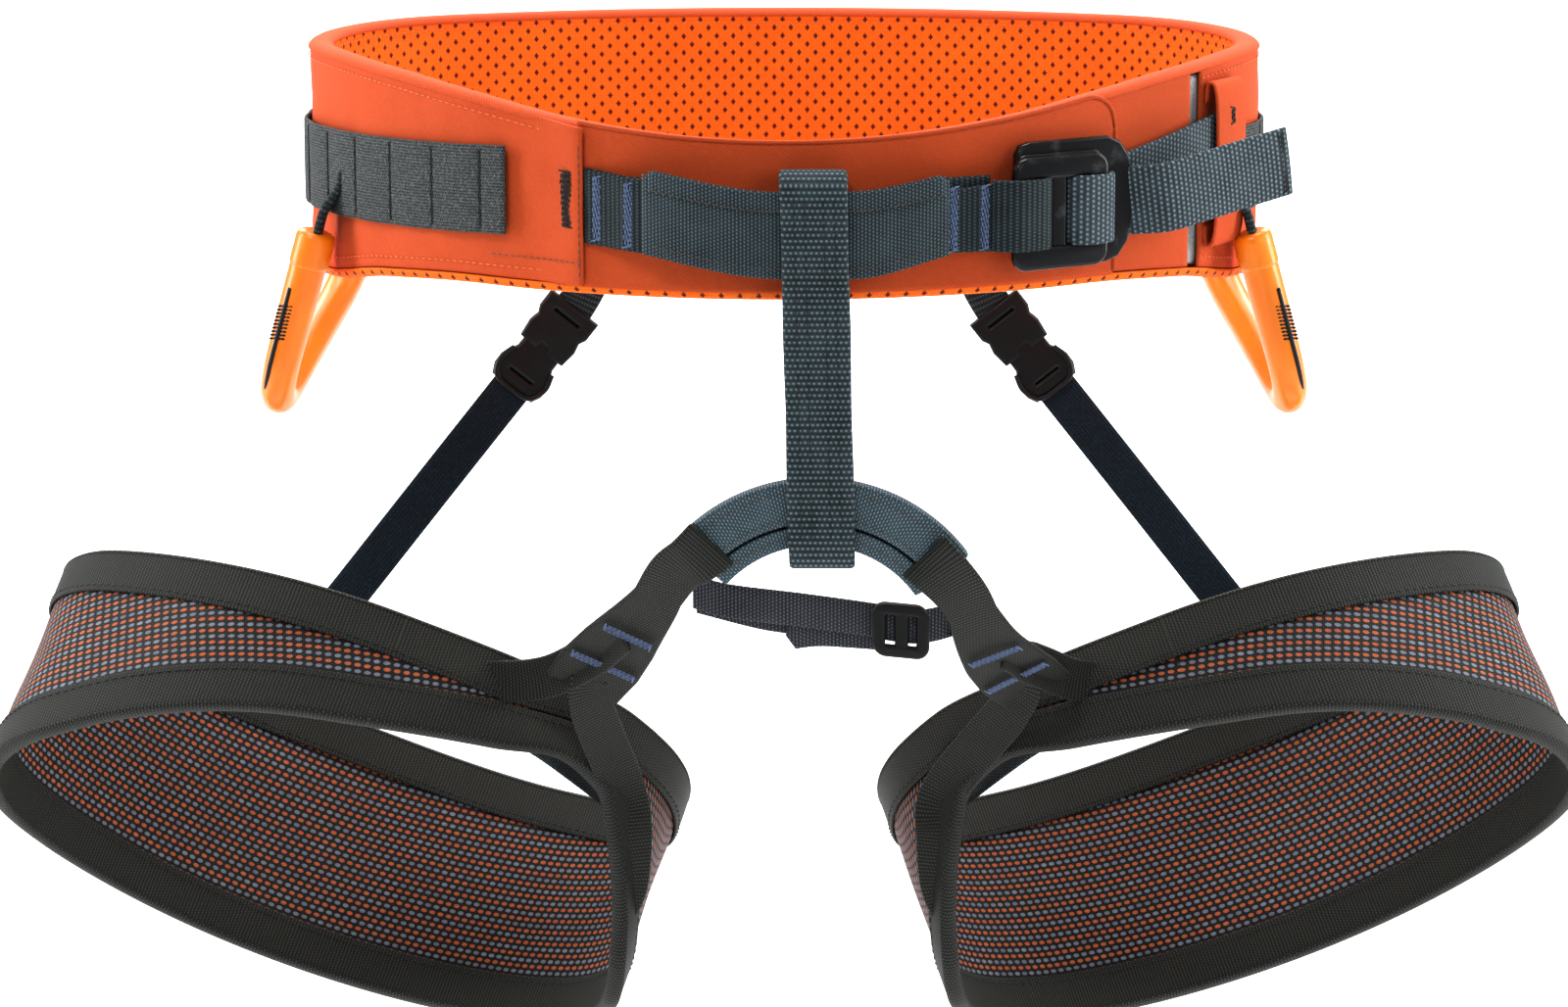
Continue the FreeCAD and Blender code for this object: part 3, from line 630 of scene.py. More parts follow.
def twill_shell():
    cloth = Shade("shell_cloth_look", 0.82, Specular_IOR_Level=0.25)
    line = wave(cloth.u * 0.8 + cloth.v * 0.6, 0.75)
    thread = wave(cloth.v * 1.0 - cloth.u * 0.25, 0.5)
    # Twill ridges: their height drives both the bump and the painted highlight below.
    ridges_and_highlight = line * 0.7 + thread * 0.3
    patch = cloth.noise(45.0, 3.0)
    deep = cloth.mix(patch, rgb(168, 56, 18), rgb(190, 70, 26))
    # rgb(212, 98, 52) is a painted highlight on the ridge tops and the fine noise; the deep tones
    # under it are the shell's own orange.
    cloth.colour(cloth.mix(ridges_and_highlight * 0.6 + cloth.noise(900.0) * 0.3, deep, rgb(212, 98, 52)))
    cloth.bump(ridges_and_highlight + cloth.noise(600.0) * 0.4, 0.45, 0.0002)
    return cloth.material


def spacer_lining():
    """Spacer mesh: staggered long diamond holes in bright cloth."""
    cloth = Shade("lining_mesh_look", 0.7, Specular_IOR_Level=0.3)
    along, between = 5.4, 2.7
    row = (cloth.v / between).whole()
    cell_u = abs((cloth.u / along + row * 0.5).fraction() - 0.5) * along
    cell_v = abs((cloth.v / between).fraction() - 0.5) * between
    diamond = cell_u * 0.95 + cell_v * 0.72
    hole = 1 - diamond.ramp(0.45, 0.95)
    thread = wave(cloth.v, 0.62) * 0.5 + wave(cloth.u, 0.8) * 0.5
    body = cloth.mix(thread * 0.6 + cloth.noise(60.0) * 0.4, rgb(234, 88, 0), rgb(255, 130, 14))
    # The dark red in the holes is the deeper mesh layer, darkened further with painted shade inside
    # each opening.
    cloth.colour(cloth.mix(hole, body, rgb(96, 14, 0)))
    cloth.bump((1 - hole) + thread * 0.2, 0.8, 0.0007)
    return cloth.material


def knit_mesh():
    """Open leg-loop knit: rows of orange dots between rows of grey ones, on black."""
    cloth = Shade("leg_mesh_look", 0.6, Specular_IOR_Level=0.35)
    pitch, rows = 2.9, 2.05
    row = (cloth.v / rows).whole()
    parity = (row * 0.5).fraction() * 2.0
    cell_u = abs((cloth.u / pitch + row * 0.25).fraction() - 0.5)
    cell_v = abs((cloth.v / rows).fraction() - 0.5)
    dot = 1 - (cell_u * cell_u * 6.2 + cell_v * cell_v * 7.5).ramp(0.55, 1.0)
    strands = wave(cloth.u + cloth.v * 0.3, 0.55)
    warm = cloth.mix(cloth.noise(160.0), rgb(176, 82, 40), rgb(216, 120, 70))
    cool = cloth.mix(cloth.noise(220.0), rgb(76, 86, 102), rgb(160, 166, 178))
    yarn = cloth.mix((parity > 0.5), warm, cool)
    yarn = cloth.mix(strands * 0.35, yarn, rgb(30, 20, 18))
    cloth.colour(cloth.mix(dot, rgb(14, 14, 16), yarn))
    cloth.bump(dot + strands * 0.15, 0.9, 0.0006)
    return cloth.material


def ribbed_tape():
    """Grosgrain binding with fine ribs across it."""
    cloth = Shade("binding_look", 0.6, Specular_IOR_Level=0.3)
    rib = wave(cloth.u, 1.1)
    fine = wave(cloth.v + (cloth.u / 1.1).whole() * 0.5, 1.0)
    height = rib * (fine * 0.6 + 0.4)
    patch = cloth.noise(55.0, 3.0)
    low = cloth.mix(patch, rgb(10, 11, 9), rgb(20, 21, 17))
    cloth.colour(cloth.mix(height * height, low, rgb(68, 72, 64)))
    cloth.bump(height, 0.7, 0.0003)
    return cloth.material


def elastic(name, dark, light, pitch, sheen=0.15):
    """Knitted elastic: fine cords along its length with a melange fleck."""
    cloth = Shade(name, 0.8, Specular_IOR_Level=sheen)
    cord = wave(cloth.v, pitch)
    knit = wave(cloth.u + (cloth.v / pitch).whole() * 0.5, 1.0)
    fleck = cloth.noise(1500.0, 1.0).ramp(0.45, 0.72)
    height = cord * 0.6 + knit * 0.4
    cloth.colour(cloth.mix(height * 0.55 + fleck * 0.45, dark, light))
    cloth.bump(height + fleck * 0.3, 0.55, 0.0002)
    return cloth.material


def anodised():
    metal = Shade("black_metal_look", 0.32, 0.65, Coat_Weight=0.15)
    rub = metal.noise(130.0, 5.0).ramp(0.58, 0.74)
    speck = metal.noise(1400.0, 2.0)
    metal.colour(metal.mix(rub * 0.22, rgb(22, 23, 25), rgb(120, 122, 124)))
    metal.rough(speck * 0.16 + 0.24)
    metal.bump(speck, 0.08, 0.0001)
    return metal.material


def moulded_black():
    plastic = Shade("black_plastic_look", 0.42, Specular_IOR_Level=0.35)
    speck = plastic.noise(1800.0, 2.0)
    plastic.colour(plastic.mix(plastic.noise(90.0), rgb(5, 6, 7), rgb(14, 15, 17)))
    plastic.rough(speck * 0.25 + 0.3)
    plastic.bump(speck, 0.12, 0.0001)
    return plastic.material


def gear_plastic():
    plastic = Shade("gear_plastic_look", 0.34, Subsurface_Weight=0.25, Subsurface_Scale=0.004,
                    Coat_Weight=0.15, Coat_Roughness=0.25)
    drift = plastic.noise(28.0, 2.0)
    speck = plastic.noise(900.0, 2.0)
    plastic.colour(plastic.mix(drift, rgb(238, 112, 0), rgb(255, 152, 18)))
    plastic.rough(speck * 0.2 + 0.26)
    plastic.bump(speck, 0.06, 0.0001)
    return plastic.material


def foam_core():
    foam = Shade("core_foam_look", 0.85)
    cell = foam.noise(1100.0, 3.0)
    foam.colour(foam.mix(cell, rgb(112, 112, 114), rgb(196, 196, 194)))
    foam.bump(cell, 0.5, 0.0003)
    return foam.material


def thread(name, dark, light):
    twist = Shade(name, 0.6)
    twist.colour(twist.mix(twist.noise(1500.0, 1.0), dark, light))
    twist.bump(twist.noise(2500.0, 1.0), 0.4, 0.0001)
    return twist.material


def matte_floor():
    floor = Shade("studio_floor_look", 0.9)
    floor.colour(floor.mix(floor.noise(3.0), rgb(236, 237, 239), rgb(244, 244, 245)))
    return floor.material


def make_materials():
    twill_shell()
    spacer_lining()
    knit_mesh()
    ribbed_tape()
    elastic("grey_elastic_look", rgb(24, 26, 27), rgb(112, 116, 116), 0.9)
    elastic("riser_elastic_look", rgb(4, 9, 14), rgb(30, 50, 66), 1.1, 0.25)
    woven("dark_webbing_look", rgb(7, 9, 10), rgb(74, 92, 98), 1.0, 1.7, 0.9)
    woven("belay_webbing_look", rgb(6, 9, 11), rgb(112, 134, 142), 1.5, 1.75, 1.0)
    woven("sleeve_webbing_look", rgb(15, 20, 24), rgb(104, 124, 132), 1.1, 1.1, 1.0)
    woven("bridge_webbing_look", rgb(34, 46, 54), rgb(134, 158, 168), 1.3, 0.9, 1.0)
    woven("tail_webbing_look", rgb(14, 19, 23), rgb(128, 148, 158), 1.5, 1.7, 1.0, 0.7, 0.9)
    woven("cross_webbing_look", rgb(18, 19, 22), rgb(112, 116, 126), 1.1, 1.1, 1.0)
    woven("label_look", rgb(20, 27, 36), rgb(58, 72, 92), 0.4, 0.4, 1.0, 0.6)
    anodised()
    moulded_black()
    gear_plastic()
    foam_core()
    thread("lavender_thread_look", rgb(58, 72, 106), rgb(124, 144, 182))
    thread("black_thread_look", rgb(8, 8, 9), rgb(32, 33, 36))
    thread("brown_thread_look", rgb(58, 48, 40), rgb(104, 88, 74))
    thread("orange_thread_look", rgb(210, 80, 24), rgb(250, 150, 80))
    matte_floor()


# --------------------------------------------------------------- waistbelt

def belt_band(s_from, s_to, low, high, offset, count, wide=14, pucker=0.0, seed=0.0):
    """Grid of a band along the belt; low and high take (s, y), offset takes (s, share)."""
    rows = []
    for s in np.linspace(s_from, s_to, count):
        y = BELT.at(s)[1]
        bottom, top = low(s, y), high(s, y)
        row = []
        for share in across(wide):
            z = bottom + (top - bottom) * share
            point = belt_point(s, z, offset(s, share))
            if pucker:
                inner = math.sin(math.pi * share) ** 0.5
                lift = pucker * inner * (ruffle(point, 26.0, seed) + 0.5 * ruffle(point, 11.0,
                                                                                 seed + 7))
                point = belt_point(s, z, offset(s, share) + lift)
            row.append(point)
        rows.append(row)
    return np.array(rows)


def level(value):
    return lambda s, t=0: value


def belt_top(drop=0.0):
    return lambda s, y: BELT_TOP(y) - drop


def belt_bottom(lift=0.0):
    return lambda s, y: BELT_BOTTOM(y) + lift


# Across the front: where the webbing leaves the shell, the shell's slit, the flap's end.
MOUTH_X = -57.8
SLIT_X = 122.8
FLAP_X = 97.5


def mouth_lift(s):
    """The shell stands off the belt where the webbing leaves its sleeve."""
    reach = BELT.length + BELT.front_at(MOUTH_X) - (s % BELT.length)
    return 3.6 * math.exp(-(max(reach, 0.0) / 10.0) ** 2)


def build_waist_cloth():
    mouth = BELT.length + BELT.front_at(MOUTH_X)
    slit = BELT.front_at(SLIT_X + 3.2)
    shell = belt_band(slit, mouth, belt_bottom(1.0), belt_top(0.6),
                      lambda s, t: -0.6 + mouth_lift(s), 420, 16, 1.1, 3.0)
    shell_piece = slab("waist_shell_cloth", shell, 1.2, "root",
                       "shell_cloth_look", ["waist_shell"])
    front = belt_band(BELT.front_at(MOUTH_X - 6), BELT.front_at(SLIT_X), belt_bottom(1.0),
                      belt_top(0.8), level(-0.6), 130, 12, 0.3, 9.0)
    slab("waist_shell_front_cloth", front, 1.1, "root", "shell_cloth_look")
    lining = belt_band(0, BELT.length * 419 / 420, belt_bottom(0.2), belt_top(0.4),
                       level(-5.8), 420, 16, 0.5, 21.0)
    lining_piece = slab("waist_lining_cloth", lining, 2.2, "root",
                        "lining_mesh_look", ["waist_lining"], closed=True)
    padding = belt_band(0, BELT.length * 419 / 420, belt_bottom(1.6), belt_top(3.0),
                        level(-2.8), 420, 10, 0.25, 57.0)
    piece = slab("waist_padding_foam", padding, 2.6, "root", "core_foam_look",
                 ["waist_core"], closed=True)


def rim_grid(edge, sign, count, reach):
    """Rolled edge over the belt's rim, from the lining across to the shell."""
    rows = []
    for s in np.linspace(0, BELT.length, count, endpoint=False):
        y = BELT.at(s)[1]
        z = edge(s, y)
        row = []
        for share in across(8, 0.08):
            turn = math.pi * share
            offset = -3.4 + 3.6 * math.cos(turn)
            row.append(belt_point(s, z + sign * (reach * math.sin(turn) - 0.4), offset))
        rows.append(row)
    return np.array(rows)


def build_belt_rims():
    slab("belt_top_rim", rim_grid(belt_top(1.6), 1, 420, 2.0), 0.9, "root",
         "shell_cloth_look", closed=True)
    slab("belt_bottom_rim", rim_grid(belt_bottom(0.6), -1, 420, 2.6), 0.9, "root",
         "lining_mesh_look", closed=True)


def build_front_flap():
    """Flap that laps over the right end of the belt, with a rounded top corner."""
    start, end = BELT.front_at(MOUTH_X - 2), BELT.front_at(FLAP_X)
    corner = 11.0

    def top(s, y):
        into = max(0.0, s - (end - corner))
        return BELT_TOP(y) + 0.4 - (corner - math.sqrt(max(corner ** 2 - into ** 2, 0.0)))

    grid = belt_band(start, end, belt_bottom(0.6), top, level(0.75), 150, 14, 0.5, 33.0)
    piece = slab("front_flap_cloth", grid, 1.3, "root", "shell_cloth_look",
                 ["front_flap"])
    edge = [belt_point(s, top(s, BELT.at(s)[1]), 1.2) for s in np.linspace(start, end, 150)]
    edge += [belt_point(end, z, 1.2) for z in np.linspace(edge[-1][2], BELT_BOTTOM(-80) + 2, 30)]
    mesh = tube_mesh("front_flap_piping", edge, 0.75, 8)
    finish_piece("front_flap_piping", mesh, "root", "shell_cloth_look")


def strip_z(x_sized):
    """Lower edge of a gear strip: it drops a little towards the side of the belt."""
    return float(np.interp(x_sized, [80, 145], [-10.0, -13.3]))


SLOT_PITCH = 19.0
STRIP_TALL = 26.5


def build_gear_strips():
    for name, sign in SIDES:
        inner = 81.5 if sign < 0 else 139.0
        base = BELT.front_at(inner)
        back = base + (155.0 if sign < 0 else 92.0)

        def low(s, y):
            return strip_z(abs(BELT.at(s)[0])) + (0 if y < 0 else 0.03 * y)

        def high(s, y):
            return low(s, y) + STRIP_TALL

        def lift(s, t):
            return 0.95 + 0.7 * abs(math.sin(math.pi * s / SLOT_PITCH)) ** 0.5

        span = (-back, -base) if sign < 0 else (base, back)
        grid = belt_band(span[0], span[1], low, high, lift, 170, 10, 0.25, 41.0 + sign)
        slab(f"gear_strip_cloth_{name}", grid, 1.3, "root",
             "grey_elastic_look", [f"gear_strip_{name}"])
        lines = []
        first = math.ceil(span[0] / SLOT_PITCH) * SLOT_PITCH
        for s in np.arange(first, span[1] - 1.0, SLOT_PITCH):
            _, y, nx, ny = BELT.at(s)
            z = low(s, y)
            out = np.array([nx, ny, 0]) * 0.75
            lines.append(bartack(belt_point(s, z + 1.5, 1.2), belt_point(s, z + 25, 1.2), out,
                                 wide=0.9))
        stitches(f"gear_strip_tacks_{name}", lines, "root", "black_thread_look", 1.0, 1.3, 0.45)


def build_belt_seams():
    """Sewing that shows on the shell and flap."""
    mouth = BELT.front_at(MOUTH_X)
    tacks = [[belt_point(mouth - 5.6 + 0.08 * k / 3 + (1.6 if k % 2 else -1.6), 10.5 - 0.8 * k,
                         mouth_lift(mouth - 5.6) + 0.35) for k in range(22)]]
    stitches("sleeve_mouth_tack", tacks, "root", "black_thread_look", 0.7, 1.5, 0.62)
    hem = [[belt_point(s, BELT_BOTTOM(BELT.at(s)[1]) + 8.0, 0.25 + mouth_lift(s))
            for s in np.linspace(mouth - 32, mouth - 1, 40)],
           [belt_point(mouth - 1.0, z, mouth_lift(mouth - 1.0) + 0.2)
            for z in np.linspace(-20, 17, 20)]]
    stitches("sleeve_mouth_seam", hem, "root", "brown_thread_look", 2.2, 1.6, 0.35)
    rows = []
    for drop, which in ((4.2, BELT_TOP), (-4.6, BELT_BOTTOM)):
        rows.append([belt_point(s, which(BELT.at(s)[1]) - drop, 0.35)
                     for s in np.linspace(BELT.front_at(SLIT_X + 4), BELT.length + mouth - 8,
                                          500)])
    stitches("belt_edge_seams", rows, "root", "orange_thread_look", 2.6, 1.9, 0.36)
    inside = []
    for drop, which in ((3.8, BELT_TOP), (-4.2, BELT_BOTTOM)):
        inside.append([belt_point(s, which(BELT.at(s)[1]) - drop, -7.1)
                       for s in np.linspace(0, BELT.length, 500)])
    stitches("lining_edge_seams", inside, "root", "orange_thread_look", 2.6, 1.9, 0.4)


# ------------------------------------------------------------ waist webbing

def front_strap(x_from, x_to, low, high, offset, count=70, wide=9):
    """Grid of a strap on the belt's front, all its measures as functions of x."""
    rows = []
    for x in np.linspace(x_from, x_to, count):
        s = BELT.front_at(x)
        rows.append([belt_point(s, low(x) + (high(x) - low(x)) * share, offset(x))
                     for share in across(wide)])
    return np.array(rows)


def curve_of(keys, values):
    return smooth_through(list(keys), list(values))


WEB_OUT = curve_of([-66, -57.4, -50, -42, -20, 40, 56, 66, 80],
                   [1.2, 2.1, 3.6, 6.4, 8.7, 8.7, 7.8, 6.8, 6.0])
SAG_TOP = curve_of([-39, -1.7, 19, 45], [11.6, 5.9, 5.9, 10.0])
SAG_BOTTOM = curve_of([-39, -1.7, 19, 45], [-12.0, -18.2, -18.4, -12.4])


def build_tie_in():
    web = front_strap(-57.6, 66, curve_of([-63, -40, 9, 45, 72], [-10.5, -12, -16, -12, -13.0]),
                      curve_of([-63, -40, 9, 45, 72], [12.3, 9.8, 4.5, 6.6, 9.0]), WEB_OUT, 120)
    slab("tie_in_webbing_strap", web, 1.8, "root", "dark_webbing_look",
         ["tie_in_webbing", "webbing_fold_left", "webbing_fold_right"])
    for name, first, last in (("left", -50.0, -41.0), ("right", 44.5, 58.0)):
        under = front_strap(first, last, lambda x: -12.0, lambda x: 10.0,
                            lambda x: WEB_OUT(x) - 2.1, 24)
        slab(f"webbing_under_{name}", under, 1.7, "root", "dark_webbing_look")
    sleeve = front_strap(-39, 45, SAG_BOTTOM, SAG_TOP, lambda x: WEB_OUT(x) + 1.75, 90)
    slab("tie_in_sleeve_outer", sleeve, 1.3, "root", "sleeve_webbing_look",
         ["tie_in_sleeve"])
    lip = front_strap(-37, 43.5, lambda x: SAG_TOP(x) - 4.4, lambda x: SAG_TOP(x) + 1.3,
                      lambda x: WEB_OUT(x) + 2.9, 90, 6)
    slab("tie_in_sleeve_lip", lip, 1.0, "root", "sleeve_webbing_look")
    behind = front_strap(-37, 44, lambda x: SAG_BOTTOM(x) + 3, lambda x: SAG_TOP(x) + 1.0,
                         lambda x: WEB_OUT(x) - 1.6, 80, 7)
    slab("tie_in_sleeve_inner", behind, 1.0, "root", "sleeve_webbing_look")
    lines = []
    for high, drop in ((SAG_TOP, 4.0), (SAG_BOTTOM, -3.2)):
        lines.append([belt_point(BELT.front_at(x), high(x) - drop, WEB_OUT(x) +
                                 (3.5 if drop > 0 else 2.5)) for x in np.linspace(-35, 42, 70)])
    stitches("tie_in_sleeve_seams", lines, "root", "brown_thread_look", 2.6, 1.9, 0.4)
    tacks = []
    for x, low, high in ((-53.5, -9.5, 9.5), (-43.5, -10.5, 8.5), (46.5, -11.5, 7.5),
                         (55.5, -11.5, 7.5)):
        s = BELT.front_at(x)
        _, _, nx, ny = BELT.at(s)
        lift = np.array([nx, ny, 0]) * 1.05
        tacks.append(bartack(belt_point(s, low, WEB_OUT(x)), belt_point(s, high, WEB_OUT(x)),
                             lift, wide=2.4))
    stitches("tie_in_bartacks", tacks, "root", "lavender_thread_look", 0.9, 1.5, 0.5)


BELAY_WIDE = 19.6


def build_belay_loop():
    """One sewn ring of webbing: round the tie-in sleeve, down the front, round the bridge."""
    back, front = BELAY_HIGH[1] - 1.2, BELAY_LOW[1] + 1.2
    low, high = BELAY_LOW[2] + 1.2, BELAY_HIGH[2] - 1.2
    route = [(back, high - 5), (back - 1.6, high - 1.2), ((back + front) / 2, high),
             (front + 1.4, high - 1.6), (front, high - 7), (front, high - 40),
             (front + 0.6, (low + high) / 2), (front + 0.5, low + 30), (front, low + 8),
             (front + 1.6, low + 1.4), ((back + front) / 2, low), (back - 1.4, low + 1.4),
             (back, low + 7), (back, (low + high) / 2), (back, high - 30)]
    path = through([(BELAY_X, y, z) for y, z in route], 300, closed=True)
    lean = np.interp(path[:, 2], [low, high], [1.2, -1.6])
    path[:, 0] += lean
    wide = np.tile(np.array([1.0, 0, 0]), (len(path), 1))
    width = BELAY_WIDE + 0.25 * np.sin(np.arange(len(path)) / 9.0)
    grid = strap_grid(path, wide, width, 0.0, 12)
    slab("belay_loop_webbing", grid, 2.4, "belay_loop", "belay_webbing_look",
         ["belay_loop"], closed=True)
    rows = []
    for share in (0.2, 0.36, 0.64, 0.8):
        visible = [p + np.array([(share - 0.5) * BELAY_WIDE, -1.35, 0]) for p in path
                   if p[1] < front + 0.7 and low + 9 < p[2] < high - 8]
        rows.append(visible[::2])
    stitches("belay_loop_seams", rows, "belay_loop", "black_thread_look", 3.1, 2.2, 0.42)


# -------------------------------------------------- buckle, strand and tail

BUCKLE_LOW, BUCKLE_HIGH = node_box("buckle_frame")
BUCKLE_MID = (BUCKLE_LOW + BUCKLE_HIGH) / 2
BUCKLE_X = 81.4
BUCKLE_TURN = math.asin(BUCKLE_X / (SHELL_HIGH[0] + 7.8))
ALONG = np.array([math.cos(BUCKLE_TURN), math.sin(BUCKLE_TURN), 0.0])
OUT = np.array([math.sin(BUCKLE_TURN), -math.cos(BUCKLE_TURN), 0.0])
UP = np.array([0.0, 0.0, 1.0])


def buckle_point(x, out, z):
    return BUCKLE_MID + ALONG * x + OUT * out + UP * z


def outline_plate(name, outline, holes, thick, place, body, material, replaces=(),
                  bevel=0.55):
    """Plate with holes cut from closed outlines, rounded by a bevel, stood by place."""
    curve = bpy.data.curves.new(name, "CURVE")
    curve.dimensions = "2D"
    curve.fill_mode = "BOTH"
    curve.extrude = (thick / 2 - bevel) * MM
    curve.bevel_depth = bevel * MM
    curve.bevel_resolution = 3
    curve.resolution_u = 1
    for ring in [outline] + holes:
        spline = curve.splines.new("POLY")
        spline.points.add(len(ring) - 1)
        spline.use_cyclic_u = True
        for point, (x, z) in zip(spline.points, ring):
            point.co = (x * MM, z * MM, 0, 1)
    holder = bpy.data.objects.new(f"{name}_outline", curve)
    bpy.context.scene.collection.objects.link(holder)
    bpy.context.view_layer.update()
    ready = holder.evaluated_get(bpy.context.evaluated_depsgraph_get())
    mesh = bpy.data.meshes.new_from_object(ready)
    bpy.data.objects.remove(holder)
    bpy.data.curves.remove(curve)
    for vertex in mesh.vertices:
        x, z, out = (c / MM for c in vertex.co)
        vertex.co = Vector(place(x, out, z) * MM)
    weld(mesh)
    return finish_piece(name, mesh, body, material, replaces)


def weld(mesh):
    """Merge doubled points and turn every face outwards."""
    work = bmesh.new()
    work.from_mesh(mesh)
    bmesh.ops.remove_doubles(work, verts=work.verts, dist=0.00001)
    bmesh.ops.recalc_face_normals(work, faces=work.faces)
    work.to_mesh(mesh)
    work.free()
    mesh.polygons.foreach_set("use_smooth", [True] * len(mesh.polygons))
    mesh.set_sharp_from_angle(angle=math.radians(50))


def rounded_box(x0, x1, z0, z1, radius, steps=6):
    """Closed outline of a rectangle with rounded corners."""
    ring = []
    for cx, cz, start in ((x1 - radius, z0 + radius, -90), (x1 - radius, z1 - radius, 0),
                          (x0 + radius, z1 - radius, 90), (x0 + radius, z0 + radius, 180)):
        for step in range(steps + 1):
            turn = math.radians(start + 90 * step / steps)
            ring.append((cx + radius * math.cos(turn), cz + radius * math.sin(turn)))
    return ring


def turned_strap(route, z, height, count=70):
    """Strap grid that follows a route of (along, out) points at the buckle."""
    path = through([buckle_point(x, out, z) for x, out in route], count)
    return strap_grid(path, np.tile(UP, (count, 1)), np.full(count, height), 0, 8)


def build_buckle():
    right = [(19.6 + 1.6 * math.cos(math.pi * z / 26.0), z) for z in np.linspace(-12.5, 12.5, 15)]
    plate_outline = ([(-18.7, 15.2), (-18.7, -14.6), (-17.4, -16.9), (-15.0, -17.8),
                      (12.5, -17.8), (16.5, -16.6)] + right
                     + [(16.8, 16.4), (12.8, 18.0), (-15.0, 18.0), (-17.5, 17.3)])
    windows = [rounded_box(-13.5, -4.5, -12.8, 12.8, 2.0), rounded_box(0.5, 12.6, -12.8, 12.8, 2.0)]
    outline_plate("buckle_back_plate", plate_outline, windows, 3.0, buckle_point, "root",
                  "black_metal_look", ["buckle_frame"], 0.9)
    lift, drop = 3.9, 1.7

    def slider_place(x, out, z):
        return buckle_point(x, out + lift, z - drop)

    frame_ring = rounded_box(-21.5, 9.4, -15.6, 15.4, 3.4)
    holes = [rounded_box(-16.8, 4.2, -11.0, 11.0, 1.2)]
    outline_plate("buckle_front_frame", frame_ring, holes, 3.2, slider_place, "buckle_slider",
                  "black_metal_look", ["buckle_slider"], 1.25)
    rail = rounded_box(-19.5, 8.6, 12.2, 16.4, 2.0)
    outline_plate("buckle_top_lip", rail, [], 2.2,
                  lambda x, out, z: slider_place(x, out - 1.7, z), "buckle_slider",
                  "black_metal_look", (), 0.9)
    bar = [(x + 1.0 * math.cos(math.pi * z / 24.0) * (1 if x < -6.7 else -1), z)
           for x, z in rounded_box(-8.6, -4.8, -12.2, 12.2, 0.6, 8)]
    outline_plate("buckle_centre_bar", bar, [], 2.4,
                  lambda x, out, z: slider_place(x, out - 0.4, z), "buckle_slider",
                  "black_metal_look", (), 0.9)
    wrap = [(-1.8, -2.2), (-2.2, 1.4), (-1.2, 4.9), (2.0, 6.6), (6.0, 6.9), (10.0, 6.1),
            (12.6, 3.8), (12.8, 0.6), (10.0, -2.6)]
    slab("buckle_webbing_wrap", turned_strap(wrap, -1.7, 20.8), 1.9,
         ("root", "buckle_slider", buckle_point(13, 0, 0), buckle_point(2, 0, 0)),
         "tail_webbing_look", ["buckle_webbing_turn"])
    over = [(-28.0, 1.2), (-25.5, 4.2), (-22.0, 6.4), (-18.0, 7.0), (-13.5, 6.8), (-11.0, 5.2),
            (-10.4, 2.4), (-10.6, -2.0)]
    slab("buckle_webbing_over", turned_strap(over, -1.7, 21.2), 1.9,
         ("root", "buckle_slider", buckle_point(-29, 0, 0), buckle_point(-21, 0, 0)),
         "dark_webbing_look")


def build_strand_and_keeper():
    strand = front_strap(95, 134, curve_of([95, 134], [-13.5, -3.0]),
                         curve_of([95, 134], [11.5, 21.5]), lambda x: 2.6, 60)
    slab("waist_strand_webbing", strand, 1.8, "root", "tail_webbing_look",
         ["waist_webbing_strand"])
    keeper_low, keeper_high = node_box("tail_keeper")
    x0, x1 = keeper_low[0] + 0.3, keeper_high[0] - 0.3
    z0, z1 = keeper_low[2], keeper_high[2]
    route = [(0.5, z0 + 6), (0.9, z0 + 1), (2.2, z0 - 0.4), (3.8, z0 + 1.2), (4.8, z0 + 8),
             (5.1, 4), (4.8, z1 - 8), (3.8, z1 - 1.0), (2.2, z1 + 0.6), (0.9, z1 - 1),
             (0.5, z1 - 6)]
    rows = []
    s0, s1 = BELT.front_at(x0), BELT.front_at(x1)
    for out, z in [(p[0], p[2]) for p in through([(o, 0, z) for o, z in route], 60)]:
        rows.append([belt_point(s0 + (s1 - s0) * share, z, out) for share in across(7)])
    slab("tail_keeper_cloth", np.array(rows), 1.1, "root", "shell_cloth_look",
         ["tail_keeper"])
    s = (s0 + s1) / 2
    _, _, nx, ny = BELT.at(s)
    tack = bartack(belt_point(s, z1 - 12.5, 4.9), belt_point(s, z1 - 7.5, 4.7),
                   np.array([nx, ny, 0]) * 0.8, wide=2.2)
    stitches("tail_keeper_tack", [tack], "root", "black_thread_look", 0.8, 1.4, 0.5)


def build_tail():
    start = buckle_point(21.5, 6.3, -1.5)
    heading = np.array(joint_called("tail_slide")["axis"])
    length = 56.0
    path = through([buckle_point(14.0, -2.1, -1.5), buckle_point(19.0, -1.8, -1.2),
                    start + heading * 8, start + heading * 20 + OUT * 0.8,
                    start + heading * 38 + OUT * 0.2, start + heading * length], 100)
    wide = np.tile(np.cross(heading, np.cross(UP, heading)), (len(path), 1))
    width = np.full(len(path), 21.0)
    grid = strap_grid(path, wide, width, 0.35, 9)
    slab("free_tail_webbing", grid, 1.9, "webbing_tail", "tail_webbing_look",
         ["webbing_tail"])
    face = np.cross(heading, wide[0])
    face /= np.linalg.norm(face)
    side = wide[0] / np.linalg.norm(wide[0])
    tip = path[-5]
    if face[1] > 0:
        face = -face
    tack = bartack(tip - side * 9, tip + side * 9, face * 1.2, wide=1.6)
    stitches("free_tail_tack", [tack], "webbing_tail", "black_thread_look", 0.9, 1.4, 0.45)


# ------------------------------------------------------- bridge, cross strap

BRIDGE_LOW, BRIDGE_HIGH = node_box("bridge_webbing")
BRIDGE_R = 54.8
BRIDGE_MID = np.array([BELAY_X - 0.5, (BRIDGE_LOW[1] + BRIDGE_HIGH[1]) / 2,
                       node_box("bridge_sleeve_front")[1][2] - BRIDGE_R])


def bridge_at(angle, radius, y):
    turn = math.radians(angle)
    return BRIDGE_MID + np.array([math.cos(turn) * radius, y, math.sin(turn) * radius])


